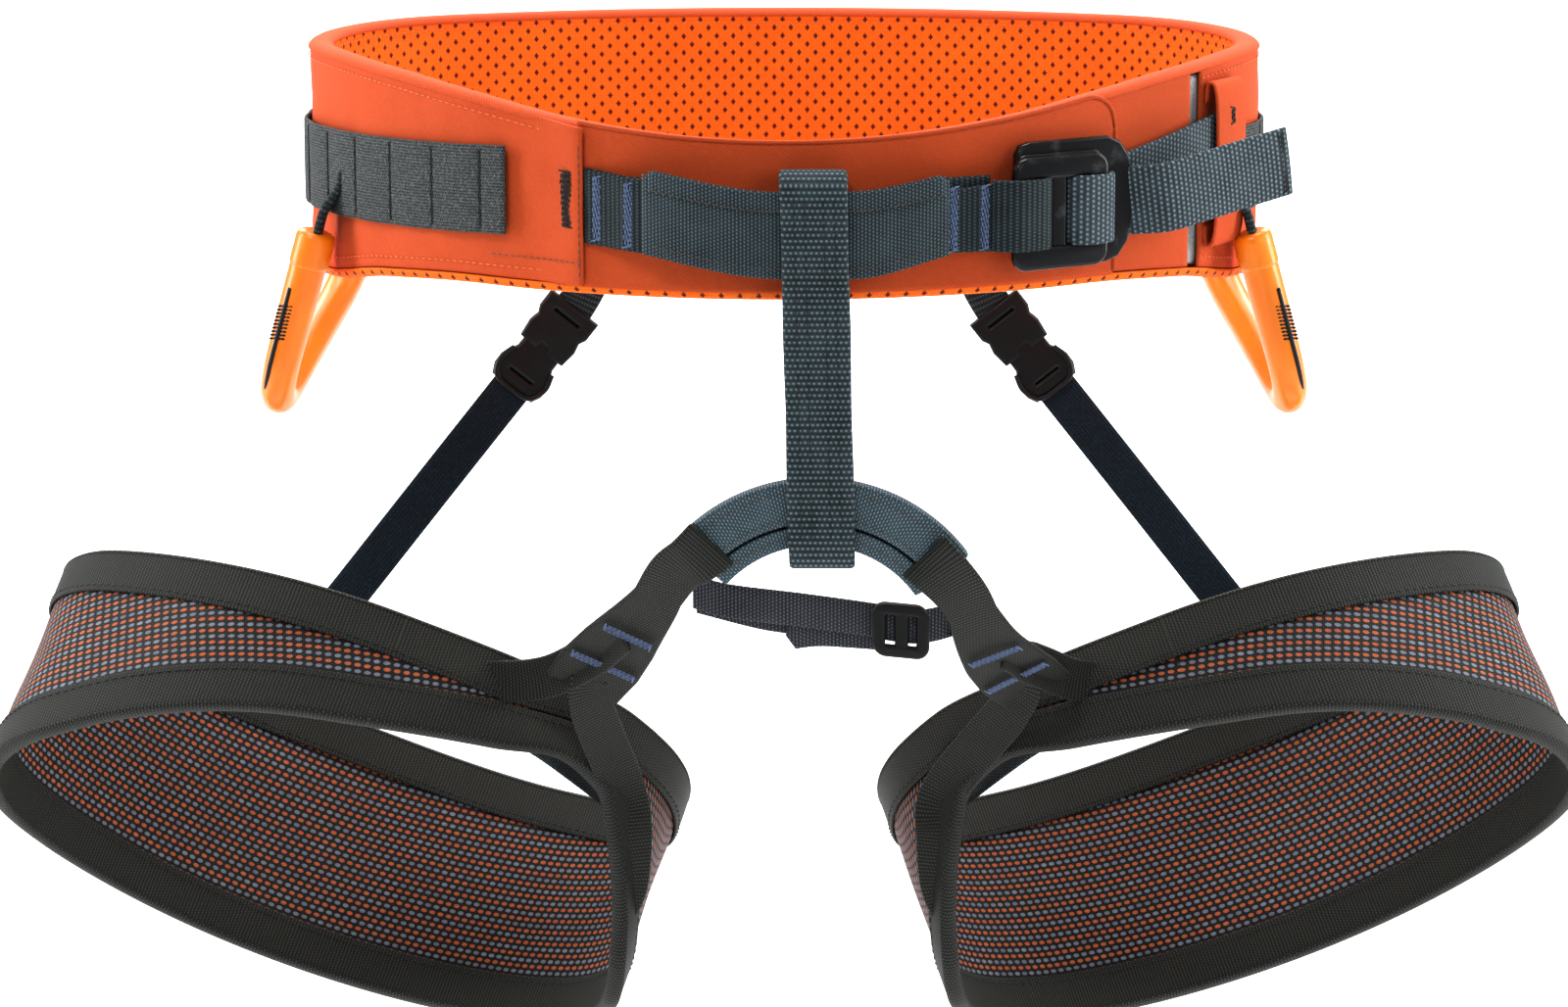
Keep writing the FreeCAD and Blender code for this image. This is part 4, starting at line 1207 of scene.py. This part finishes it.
def arch_grid(start, end, inner, outer, y, count=90, wide=8):
    return np.array([[bridge_at(angle, inner + (outer - inner) * share, y)
                      for share in across(wide)] for angle in np.linspace(start, end, count)])


def build_bridge():
    slab("bridge_core_webbing", arch_grid(139, 34, BRIDGE_R - 19, BRIDGE_R - 2, 0.4), 2.6,
         "root", "dark_webbing_look", ["bridge_webbing"])
    slab("bridge_face_front", arch_grid(136, 36, BRIDGE_R - 12.5, BRIDGE_R - 0.4, -2.6), 1.4,
         "root", "bridge_webbing_look", ["bridge_sleeve_front"])
    slab("bridge_face_back", arch_grid(136, 36, BRIDGE_R - 17, BRIDGE_R - 0.4, 2.6), 1.3,
         "root", "bridge_webbing_look", ["bridge_sleeve_back"])
    slab("bridge_lower_layer", arch_grid(138, 35, BRIDGE_R - 19.3, BRIDGE_R - 13.4, -1.9), 1.5,
         "root", "bridge_webbing_look")
    top = []
    for angle in np.linspace(136, 36, 90):
        top.append([bridge_at(angle, BRIDGE_R + 0.5 * math.sin(math.pi * share) - 0.3,
                              -3.0 + 6.0 * share) for share in across(6)])
    slab("bridge_top_fold", np.array(top), 1.0, "root", "bridge_webbing_look")
    rows = [[bridge_at(a, radius, y) for a in np.linspace(134, 38, 60)]
            for radius, y in ((BRIDGE_R - 2.6, -3.45), (BRIDGE_R - 10.6, -3.45),
                              (BRIDGE_R - 16.4, -2.75))]
    stitches("bridge_seams", rows, "root", "brown_thread_look", 2.5, 1.8, 0.38)


def build_cross_strap():
    y = node_box("cross_strap")[0][1] + 0.7
    left = through([(-27, y + 3, -114.5), (-16, y, -116.8), (6, y, -119.6), (27, y, -122.6),
                    (30.5, y - 1.5, -123.2), (38.5, y - 1.6, -124.2), (46, y + 1, -123.8),
                    (55, y + 6, -122.0)], 110)
    wide = np.tile(UP, (len(left), 1))
    slab("cross_strap_webbing", strap_grid(left, wide, np.full(len(left), 10.4), 0, 6), 1.3,
         "root", "cross_webbing_look", ["cross_strap", "cross_strap_end"])
    tail = through([(-26, y + 4.0, -116.2), (-8, y + 4.2, -121.0), (4, y + 4.2, -123.0),
                    (16, y + 3.8, -125.2), (29, y + 3.2, -125.6)], 80)
    widths = np.full(len(tail), 10.4)
    slab("cross_strap_return", strap_grid(tail, wide[:80], widths, 0, 6), 1.3, "root",
         "cross_webbing_look")
    end = through([(0.5, y + 1.9, -127.2), (10, y + 1.9, -126.0), (20, y + 1.6, -126.4),
                   (29, y + 1.2, -127.0)], 60)
    widths = 10.2 * np.clip(np.arange(60) / 7.0 + 0.12, 0, 1)
    slab("cross_strap_point", strap_grid(end, wide[:60], widths, 0, 6), 1.2, "root",
         "cross_webbing_look", ["cross_strap_tail"])
    low, high = node_box("cross_strap_slider")
    mid = (low + high) / 2

    def place(x, out, z):
        return mid + np.array([x, -out, z - 0.1 * x])

    ring = rounded_box(-7.7, 7.7, -7.4, 7.4, 3.2)
    holes = [rounded_box(-5.4, -1.0, -5.4, 5.4, 1.0), rounded_box(1.4, 5.4, -5.4, 5.4, 1.0)]
    outline_plate("cross_slider_body", ring, holes, 3.2, place, "cross_strap_slider",
                  "black_plastic_look", ["cross_strap_slider"], 0.8)


# ---------------------------------------------------------------- leg loops

def leg_band(side, low, high, offset, count=300, wide=10, pucker=0.0, seed=0.0):
    rows = []
    for s in np.linspace(0, LEG.length, count, endpoint=False):
        angle = leg_angle(s)
        bottom, top = low(angle), high(angle)
        row = []
        for share in across(wide):
            z = bottom + (top - bottom) * share
            local = leg_point(s, z, offset, side)
            lift = pucker * math.sin(math.pi * share) * ruffle(local, 30.0, seed)
            row.append(leg_point(s, z, offset + lift, side))
        rows.append(row)
    return np.array(rows)


BINDING = 13.5


def build_leg_loop(name, side):
    body = f"leg_loop_{name}"
    panel = leg_band(side, lambda a: LEG_BOTTOM(a) + 4, lambda a: LEG_TOP(a) - 4, 0.0, 300, 18,
                     1.2, 5.0 + side)
    piece = slab(f"leg_mesh_{name}", panel, 2.6, body, "leg_mesh_look",
                 [f"leg_panel_{name}"], closed=True)

    def taper(angle):
        """The bindings share what height the narrow junction leaves."""
        return min(BINDING, (LEG_TOP(angle) - LEG_BOTTOM(angle)) * 0.49)

    for label, low, high in (
            ("top", lambda a: LEG_TOP(a) - taper(a), LEG_TOP),
            ("bottom", LEG_BOTTOM, lambda a: LEG_BOTTOM(a) + taper(a))):
        for face, offset in (("outer", 2.1), ("inner", -2.1)):
            grid = leg_band(side, low, high, offset, 300, 7, 0.35, 11.0 + side)
            replaced = [f"leg_{label}_binding_{name}"] if face == "outer" else []
            slab(f"leg_{label}_binding_{face}_{name}", grid, 1.1, body,
                 "binding_look", replaced, closed=True)
        edge = high if label == "top" else low
        sign = 1 if label == "top" else -1
        rows = []
        for s in np.linspace(0, LEG.length, 300, endpoint=False):
            z = edge(leg_angle(s))
            rows.append([leg_point(s, z + sign * (1.4 * math.sin(math.pi * t) - 0.3),
                                   2.5 * math.cos(math.pi * t), side)
                         for t in across(6, 0.08)])
        slab(f"leg_{label}_edge_{name}", np.array(rows), 0.9, body,
             "binding_look", closed=True)
    lines = []
    for offset in (2.8, -2.8):
        for edge, sign in ((LEG_TOP, -1), (LEG_BOTTOM, 1)):
            lines.append([leg_point(s, edge(leg_angle(s)) + sign * (taper(leg_angle(s)) - 2.0),
                                    offset, side) for s in np.linspace(0, LEG.length, 360)])
    stitches(f"leg_binding_seams_{name}", lines, body, "black_thread_look", 3.0, 2.1, 0.45)


JUNCTION = {
    "left": [(-21.0, -130.8, -96.0, 18.5), (-26.6, -130.0, -101.4, 16.6),
             (-32.4, -126.0, -106.5, 15.0), (-39.3, -117.0, -118.3, 18.8),
             (-48.0, -105.0, -131.0, 23.0), (-57.0, -91.5, -144.5, 25.5),
             (-61.5, -85.0, -151.5, 24.0)],
    "right": [(41.0, -130.8, -100.0, 18.5), (46.0, -130.2, -105.0, 16.6),
              (53.2, -124.5, -114.6, 15.2), (60.8, -112.0, -130.9, 19.0),
              (68.0, -98.0, -142.0, 23.0), (74.0, -88.5, -149.0, 24.5),
              (77.5, -83.5, -153.0, 23.0)],
}
TAPES = {
    "left": ([(-48.0, -106.5, -130.0), (-60.0, -92.5, -140.5), (-72.0, -83.5, -148.2),
              (-86.0, -78.5, -151.0), (-100.0, -78.0, -150.5)],
             [(-54.5, -90.5, -142.5), (-59.5, -85.5, -153.5)]),
    "right": ([(66.5, -103.0, -136.0), (78.0, -90.0, -143.5), (89.0, -82.5, -149.5),
               (102.0, -78.5, -151.0), (114.0, -78.0, -150.5)],
              [(69.5, -90.5, -144.0), (71.5, -85.5, -154.0)]),
}


def build_junction(name):
    """Webbing from the bridge to the leg loop; it widens on its way."""
    keys = JUNCTION[name]
    path = through([k[:3] for k in keys], 70)
    widths = np.interp(np.linspace(0, len(keys) - 1, 70), range(len(keys)),
                       [k[3] for k in keys])
    run = np.gradient(path, axis=0)
    run /= np.linalg.norm(run, axis=1, keepdims=True)
    wide = np.cross(run, np.array([0.0, -1.0, -0.35]))
    layers = []
    for shift, scale, thick in ((0.0, 1.0, 1.8), (1.9, 0.86, 1.6)):
        layers.append((strap_grid(path + np.array([0, shift, 0.3 * shift]), wide,
                                  widths * scale, 0.6, 8), thick))
    bend = ("root", f"leg_loop_{name}", path[14], path[38])
    slab(f"junction_webbing_{name}", layers[0][0], layers[0][1], bend,
         "binding_look", [f"leg_junction_{name}"])
    slab(f"junction_backing_{name}", layers[1][0], layers[1][1], bend,
         "dark_webbing_look")
    tacks = []
    for share, reach in ((0.58, 0.38), (0.80, 0.42)):
        index = int(share * 69)
        across_dir = wide[index] / np.linalg.norm(wide[index])
        out = np.cross(run[index], across_dir)
        out = out / np.linalg.norm(out)
        if out[1] > 0:
            out = -out
        half = widths[index] * reach
        tacks.append(bartack(path[index] - across_dir * half, path[index] + across_dir * half,
                             out * 1.9, wide=2.6))
    stitches(f"junction_bartacks_{name}", tacks, bend, "lavender_thread_look", 0.9, 1.5, 0.5)


def build_junction_tapes(name, side):
    """Bindings that fan out below the junction: one along the top, one down the inside."""
    body = f"leg_loop_{name}"
    upper, inner = TAPES[name]
    inner = inner + [leg_point(leg_s(angle), LEG_BOTTOM(angle) + 6.5, lift, side)
                     for angle, lift in ((322, 3.2), (329, 3.2), (336, 2.6), (341, 0.2))]
    for label, route, width, face in (("upper", upper, 13.0, (0.1 * side, -1.0, 0.25)),
                                      ("inner", inner, 14.0, (-0.2 * side, -1.0, 0.1))):
        path = through(route, 70)
        run = np.gradient(path, axis=0)
        wide = np.cross(run, np.array(face))
        widths = width * np.clip(0.75 + np.arange(70) / 60.0, 0, 1)
        if label == "inner":
            widths = widths * np.interp(np.arange(70), [0, 50, 69], [1.0, 1.0, 0.45])
        slab(f"junction_tape_{label}_{name}", strap_grid(path, wide, widths, 0.5, 7), 1.5,
             body, "binding_look")


def build_thigh_link(name, side):
    """Short webbing behind the junction, from the front edge to the inner top edge."""
    body = f"leg_loop_{name}"
    route = [(46, -62, 22), (56, -48, 25), (70, -24, 30), (82, 2, 36), (86, 16, 40)]
    path = through([leg_turned(*p, side) for p in route], 60)
    wide = np.tile(leg_turned(0, 0, 1, side) - leg_turned(0, 0, 0, side), (60, 1))
    slab(f"thigh_link_webbing_{name}", strap_grid(path, wide, np.full(60, 13.0), 0.4, 6), 1.8,
         body, "dark_webbing_look", [f"thigh_link_{name}"])


def build_leg_label():
    grid = []
    centre = LEG.length / 2
    for s in np.linspace(centre + 4, centre + 34, 30):
        grid.append([leg_point(s, z, 2.2, 1) for z in -10 + 32 * across(8)])
    slab("leg_side_label", np.array(grid), 0.7, "leg_loop_right", "label_look",
         ["leg_label"])
    corners = [leg_point(centre + a, z, 2.75, 1) for a, z in
               ((5.5, -8), (32.5, -8), (32.5, 20), (5.5, 20), (5.5, -8))]
    stitches("leg_label_seam", [corners], "leg_loop_right", "brown_thread_look", 2.0, 1.4, 0.35)


# ------------------------------------------------------------------- risers

def build_riser(name, side):
    body = f"leg_loop_{name}"
    tab_low, tab_high = node_box(f"riser_tab_{name}")
    socket_low, socket_high = node_box(f"clip_socket_{name}")
    plug_low, plug_high = node_box(f"clip_plug_{name}")
    socket = (socket_low + socket_high) / 2
    plug = (plug_low + plug_high) / 2
    down = (plug - socket) / np.linalg.norm(plug - socket)
    facing = np.array([0.0, -1.0, 0.0])
    facing -= down * np.dot(facing, down)
    facing /= np.linalg.norm(facing)
    wide = np.cross(facing, down)
    if wide[0] < 0:
        wide = -wide
    tab_x = (tab_low[0] + tab_high[0]) / 2
    tab_y = tab_low[1]
    top = np.array([tab_x, tab_y, -26.0])
    turn = socket - down * 5.4
    path = through([top, (tab_x, tab_y, -42), (tab_x, tab_y - 0.3, -50.5),
                    turn - down * 2.5, turn + down * 1.5], 60)
    blend_dirs = [np.array([1.0, 0, 0]) * (1 - t) + wide * t
                  for t in np.clip(np.linspace(-0.8, 1.0, 60), 0, 1)]
    slab(f"riser_tab_webbing_{name}",
         strap_grid(path, np.array(blend_dirs), np.full(60, 13.0), 0, 6), 2.6,
         ("root", body, path[25], path[50]), "dark_webbing_look",
         [f"riser_tab_{name}"])

    def standing(centre):
        return lambda x, out, z: centre + wide * x + facing * out + down * -z

    socket_ring = [(-8.6, 8.2), (-8.6, 3.0), (-7.4, 0.6), (-8.2, -3.0), (-7.6, -7.8),
                   (-3.0, -8.0), (-2.4, -5.6), (2.4, -5.6), (3.0, -8.0), (7.6, -7.8),
                   (8.2, -3.0), (7.4, 0.6), (8.6, 3.0), (8.6, 8.2)]
    outline_plate(f"clip_socket_body_{name}", socket_ring[::-1],
                  [rounded_box(-6.0, 6.0, 3.6, 6.2, 1.0)], 5.8, standing(socket), body,
                  "black_plastic_look", [f"clip_socket_{name}"], 1.1)
    plug_ring = [(-7.2, -7.8), (7.2, -7.8), (8.3, -5.6), (8.4, -2.4), (7.2, 0.6), (5.8, 3.0),
                 (5.6, 9.2), (-5.6, 9.2), (-5.8, 3.0), (-7.2, 0.6), (-8.4, -2.4),
                 (-8.3, -5.6)]
    outline_plate(f"clip_plug_body_{name}", plug_ring,
                  [rounded_box(-5.6, 5.6, -5.4, -2.6, 1.0)], 4.8, standing(plug), body,
                  "black_plastic_look", [f"clip_plug_{name}"], 1.4)
    rim = through([plug + wide * x + facing * 2.6 + down * -z for x, z in
                   ((-7.8, 2.5), (-9.0, -3.0), (-6.5, -8.4), (0, -9.3), (6.5, -8.4),
                    (9.0, -3.0), (7.8, 2.5))], 50)
    finish_piece(f"clip_rim_{name}", tube_mesh(f"clip_rim_{name}", rim, 0.9, 10), body,
                 "black_plastic_look")
    ribs = [[socket + wide * (sx * 7.9) + facing * o + down * k for o in (-2.0, 2.0)]
            for sx in (-1, 1) for k in np.linspace(-1.0, 4.0, 5)]
    stitches(f"clip_ribs_{name}", ribs, body, "black_plastic_look", 0.9, 1.0, 0.7)
    low, high = node_box(f"riser_elastic_{name}")
    start = plug + down * 4.0
    if side < 0:
        end = np.array([low[0] + 6.0, low[1] + 1.5, low[2] + 5.0])
    else:
        end = np.array([high[0] - 6.0, low[1] + 1.5, low[2] + 5.0])
    along = end - start
    hook = leg_turned(-34.0, 75.5, 34.0, side)
    path = through([start, start + along * 0.35 + facing * -0.8, start + along * 0.7,
                    end, hook], 110)
    dirs = np.tile(wide, (110, 1))
    slab(f"riser_elastic_strap_{name}", strap_grid(path, dirs, np.full(110, 13.4), 0.3, 8), 1.8,
         body, "riser_elastic_look", [f"riser_elastic_{name}"])


# --------------------------------------------------------------- gear loops

GEAR_HALF = 45.0
GEAR_SEAT = np.array(joint_called("gear_loop_lift_right")["pos_m"]) / MM
GEAR_ROUTE = [(-45.0, 0.0), (-45.0, -6.0), (-45.0, -20.0), (-45.0, -32.0), (-44.4, -42.0),
              (-40.6, -50.0), (-33.0, -54.0), (-24.4, -52.9), (-8.0, -46.3), (8.0, -39.8),
              (24.0, -33.2), (34.0, -27.0), (41.5, -19.0), (44.6, -10.0), (45.0, 0.0)]


def gear_place(side, out, y, z):
    """Point of a gear loop's own plane, flared outwards and toed in at the back."""
    flare, toe = math.radians(16.0), math.radians(7.0)
    x = out * math.cos(flare) - z * math.sin(flare)
    z = z * math.cos(flare) + out * math.sin(flare)
    x, y = x * math.cos(toe) - y * math.sin(toe), x * math.sin(toe) + y * math.cos(toe)
    return np.array([side * (GEAR_SEAT[0] + x), GEAR_SEAT[1] + y, GEAR_SEAT[2] + z])


def gear_path(side, count=140, offset=0.0, inset=0.0):
    route = through([(0.0, y, z) for y, z in GEAR_ROUTE], count)
    return np.array([gear_place(side, offset, y + inset, z) for _, y, z in route])


def build_gear_loop(name, side):
    body = f"gear_loop_{name}"
    path = gear_path(side)
    radius = 6.1 + 0.35 * np.cos(np.linspace(0, 2 * math.pi, len(path)))
    mesh = tube_mesh(f"gear_loop_tube_{name}", path, radius, 28, 0.9, wide=(0, 1, 0))
    finish_piece(f"gear_loop_tube_{name}", mesh, body, "gear_plastic_look",
                 [f"gear_loop_{name}"])
    slot = gear_path(side, 140, 2.6, -5.2)[14:46]
    finish_piece(f"gear_loop_slot_{name}",
                 tube_mesh(f"gear_loop_slot_{name}", slot, 0.85, 8), body,
                 "black_plastic_look", [f"gear_insert_{name}"])
    ribs = []
    for point in slot[5:15]:
        lean = np.array([side * 1.8, 0.6, 0])
        ribs.append([point - lean + [0, -0.35, 0], point + lean + [0, -0.35, 0]])
    stitches(f"gear_loop_ribs_{name}", ribs, body, "black_plastic_look", 1.2, 1.6, 0.9)
    for end, way in (("front", -1), ("back", 1)):
        rows = [gear_place(side, 0.0, way * GEAR_HALF, z) for z in np.linspace(2.0, -9.5, 16)]
        swell = 6.7 * np.interp(np.arange(16), [0, 1, 3, 14, 15], [0.72, 0.93, 1.0, 1.0, 0.92])
        finish_piece(f"gear_loop_collar_{name}_{end}",
                     tube_mesh(f"gear_loop_collar_{name}_{end}", rows, swell, 28, 0.92,
                               wide=(0, 1, 0)), body, "gear_plastic_look")
        top = gear_place(side, 0.0, way * GEAR_HALF, 4.5)
        belt_x = side * (belt_side_at(top[1]) + 2.0)
        route = through([(belt_x, top[1], 1.5), (belt_x + side * 1.2, top[1], -4.0),
                         (top[0] - side * 1.5, top[1], -11.0),
                         gear_place(side, 0.0, way * GEAR_HALF, 1.6)], 40)
        wide = np.tile(np.array([0, 1.0, 0]), (40, 1))
        slab(f"gear_tab_webbing_{name}_{end}",
             strap_grid(route, wide, np.full(40, 9.5), 0.5, 6), 2.6,
             ("root", body, route[20], route[34]), "dark_webbing_look",
             [f"gear_tab_{name}_{end}"])


def belt_side_at(y):
    """The belt side's X, with no sign, at a distance y from its middle."""
    reach = math.sqrt(max(BELT_SIDE_RADIUS ** 2 - y ** 2, 0.0))
    return SHELL_HIGH[0] - BELT_SIDE_RADIUS + reach


# -------------------------------------------------------------------- stage

def build_stage(settings):
    floor_mesh = bpy.data.meshes.new("studio_floor")
    reach, depth = 14.0, -0.62
    floor_mesh.from_pydata([(-reach, -reach, depth), (reach, -reach, depth),
                            (reach, reach, depth), (-reach, reach, depth)], [],
                           [(0, 1, 2, 3)])
    floor = bpy.data.objects.new("studio_floor", floor_mesh)
    bpy.context.scene.collection.objects.link(floor)
    floor_mesh.materials.append(bpy.data.materials["studio_floor_look"])
    scene = bpy.context.scene
    world = bpy.data.worlds.new("studio_sky")
    scene.world = world
    world.use_nodes = True
    sky = world.node_tree.nodes["Background"]
    sky.inputs["Color"].default_value = (1.0, 1.0, 1.0, 1.0)
    sky.inputs["Strength"].default_value = settings.sky_strength
    lamps = (
        ("key_softbox", (-0.7, -1.3, 1.6), (0.5, 0.5), 15.0),
        ("fill_softbox", (1.2, -1.6, 0.5), (0.8, 0.8), 6.0),
        ("left_strip", (-1.3, 0.1, 0.25), (0.35, 1.2), 18.0),
        ("right_strip", (1.3, 0.1, 0.25), (0.35, 1.2), 18.0),
        ("top_softbox", (0.0, 0.3, 1.5), (1.0, 0.7), 24.0),
        ("floor_wash", (0.0, 3.6, 2.2), (5.0, 2.5), 420.0),
    )
    for name, place, (wide, tall), power in lamps:
        light = bpy.data.lights.new(name, "AREA")
        light.shape = "RECTANGLE"
        light.size = wide
        light.size_y = tall
        light.energy = power * settings.light_level
        lamp = bpy.data.objects.new(name, light)
        lamp.location = place
        aim = Vector((0, 0, -1)) if name == "floor_wash" else Vector((0, 0, -0.1)) - Vector(place)
        lamp.rotation_euler = aim.to_track_quat("-Z", "Y").to_euler()
        scene.collection.objects.link(lamp)
    lens = bpy.data.cameras.new("studio_camera")
    lens.lens = settings.lens
    lens.sensor_width = 36.0
    camera = bpy.data.objects.new("studio_camera", lens)
    tilt = math.radians(settings.camera_elevation)
    target = Vector((0, 0, settings.camera_height))
    back = Vector((0, -math.cos(tilt), math.sin(tilt)))
    camera.location = target + back * settings.camera_distance
    camera.rotation_euler = (-back).to_track_quat("-Z", "Y").to_euler()
    scene.collection.objects.link(camera)
    scene.camera = camera
    scene.view_settings.view_transform = "Standard"
    scene.view_settings.gamma = 0.87


# ------------------------------------------------------------------- add-on

class HarnessSettings(bpy.types.PropertyGroup):
    """Sizes of the studio that a user may change."""

    sky_strength: bpy.props.FloatProperty(name="Sky", description="Brightness of the sky",
                                          default=0.42, min=0.0)
    light_level: bpy.props.FloatProperty(name="Lights", description="Share of the lamps' power",
                                         default=1.0, min=0.0)
    lens: bpy.props.FloatProperty(name="Lens", description="Focal length in millimetres",
                                  default=115.2, min=1.0)
    camera_elevation: bpy.props.FloatProperty(name="Elevation", default=12.0,
                                              description="Camera's angle above the level")
    camera_distance: bpy.props.FloatProperty(name="Distance", default=1.6, unit="LENGTH",
                                             description="From the camera to the harness")
    camera_height: bpy.props.FloatProperty(name="Aim height", default=-0.112, unit="LENGTH",
                                           description="Height that the camera looks at")


class HARNESS_OT_materials(bpy.types.Operator):
    """Make every finish: cloth, mesh, webbing, thread, metal and plastic"""

    bl_idname = "harness.materials"
    bl_label = "Finishes"
    bl_options = {"REGISTER", "UNDO"}

    def execute(self, context):
        make_materials()
        return {"FINISHED"}


class HARNESS_OT_waistbelt(bpy.types.Operator):
    """Sew the waistbelt: shell, lining, rims, flap, gear strips and seams"""

    bl_idname = "harness.waistbelt"
    bl_label = "Waistbelt"
    bl_options = {"REGISTER", "UNDO"}

    def execute(self, context):
        build_waist_cloth()
        build_belt_rims()
        build_front_flap()
        build_gear_strips()
        build_belt_seams()
        return {"FINISHED"}


class HARNESS_OT_tie_in(bpy.types.Operator):
    """Lay the tie-in webbing, its sleeve and the belay loop"""

    bl_idname = "harness.tie_in"
    bl_label = "Tie-in and belay loop"
    bl_options = {"REGISTER", "UNDO"}

    def execute(self, context):
        build_tie_in()
        build_belay_loop()
        return {"FINISHED"}


class HARNESS_OT_buckle(bpy.types.Operator):
    """Make the waist buckle, the strand, its keeper and the free tail"""

    bl_idname = "harness.buckle"
    bl_label = "Buckle and tail"
    bl_options = {"REGISTER", "UNDO"}

    def execute(self, context):
        build_buckle()
        build_strand_and_keeper()
        build_tail()
        return {"FINISHED"}


class HARNESS_OT_bridge(bpy.types.Operator):
    """Sew the leg bridge and the cross strap with its slider"""

    bl_idname = "harness.bridge"
    bl_label = "Leg bridge"
    bl_options = {"REGISTER", "UNDO"}

    def execute(self, context):
        build_bridge()
        build_cross_strap()
        return {"FINISHED"}


class HARNESS_OT_leg_loops(bpy.types.Operator):
    """Sew both leg loops with their bindings, junctions, links and label"""

    bl_idname = "harness.leg_loops"
    bl_label = "Leg loops"
    bl_options = {"REGISTER", "UNDO"}

    def execute(self, context):
        for name, side in SIDES:
            build_leg_loop(name, side)
            build_junction(name)
            build_junction_tapes(name, side)
            build_thigh_link(name, side)
        build_leg_label()
        return {"FINISHED"}


class HARNESS_OT_risers(bpy.types.Operator):
    """Make the rear risers: tabs, clips and elastic"""

    bl_idname = "harness.risers"
    bl_label = "Rear risers"
    bl_options = {"REGISTER", "UNDO"}

    def execute(self, context):
        for name, side in SIDES:
            build_riser(name, side)
        return {"FINISHED"}


class HARNESS_OT_gear_loops(bpy.types.Operator):
    """Mould the gear loops with their slots, ribs, collars and tabs"""

    bl_idname = "harness.gear_loops"
    bl_label = "Gear loops"
    bl_options = {"REGISTER", "UNDO"}

    def execute(self, context):
        for name, side in SIDES:
            build_gear_loop(name, side)
        return {"FINISHED"}


class HARNESS_OT_stage(bpy.types.Operator):
    """Set up the floor, the lamps, the sky and the camera"""

    bl_idname = "harness.stage"
    bl_label = "Studio"
    bl_options = {"REGISTER", "UNDO"}

    def execute(self, context):
        build_stage(context.scene.harness)
        return {"FINISHED"}


STEPS = (HARNESS_OT_materials, HARNESS_OT_waistbelt, HARNESS_OT_tie_in, HARNESS_OT_buckle,
         HARNESS_OT_bridge, HARNESS_OT_leg_loops, HARNESS_OT_risers, HARNESS_OT_gear_loops,
         HARNESS_OT_stage)


class HARNESS_PT_panel(bpy.types.Panel):
    """Lists the harness's settings and steps"""

    bl_label = "Climbing Sit Harness"
    bl_idname = "HARNESS_PT_panel"
    bl_space_type = "VIEW_3D"
    bl_region_type = "UI"
    bl_category = "Harness"

    def draw(self, context):
        settings = context.scene.harness
        for name in ("sky_strength", "light_level", "lens", "camera_elevation",
                     "camera_distance", "camera_height"):
            self.layout.prop(settings, name)
        for step in STEPS:
            self.layout.operator(step.bl_idname)


def register():
    bpy.utils.register_class(HarnessSettings)
    bpy.types.Scene.harness = bpy.props.PointerProperty(type=HarnessSettings)
    for step in STEPS:
        bpy.utils.register_class(step)
    bpy.utils.register_class(HARNESS_PT_panel)


def unregister():
    bpy.utils.unregister_class(HARNESS_PT_panel)
    for step in reversed(STEPS):
        bpy.utils.unregister_class(step)
    del bpy.types.Scene.harness
    bpy.utils.unregister_class(HarnessSettings)


def main():
    register()
    bpy.ops.harness.materials()
    bpy.ops.harness.waistbelt()
    bpy.ops.harness.tie_in()
    bpy.ops.harness.buckle()
    bpy.ops.harness.bridge()
    bpy.ops.harness.leg_loops()
    bpy.ops.harness.risers()
    bpy.ops.harness.gear_loops()
    bpy.ops.harness.stage()


if __name__ == "__main__":
    main()
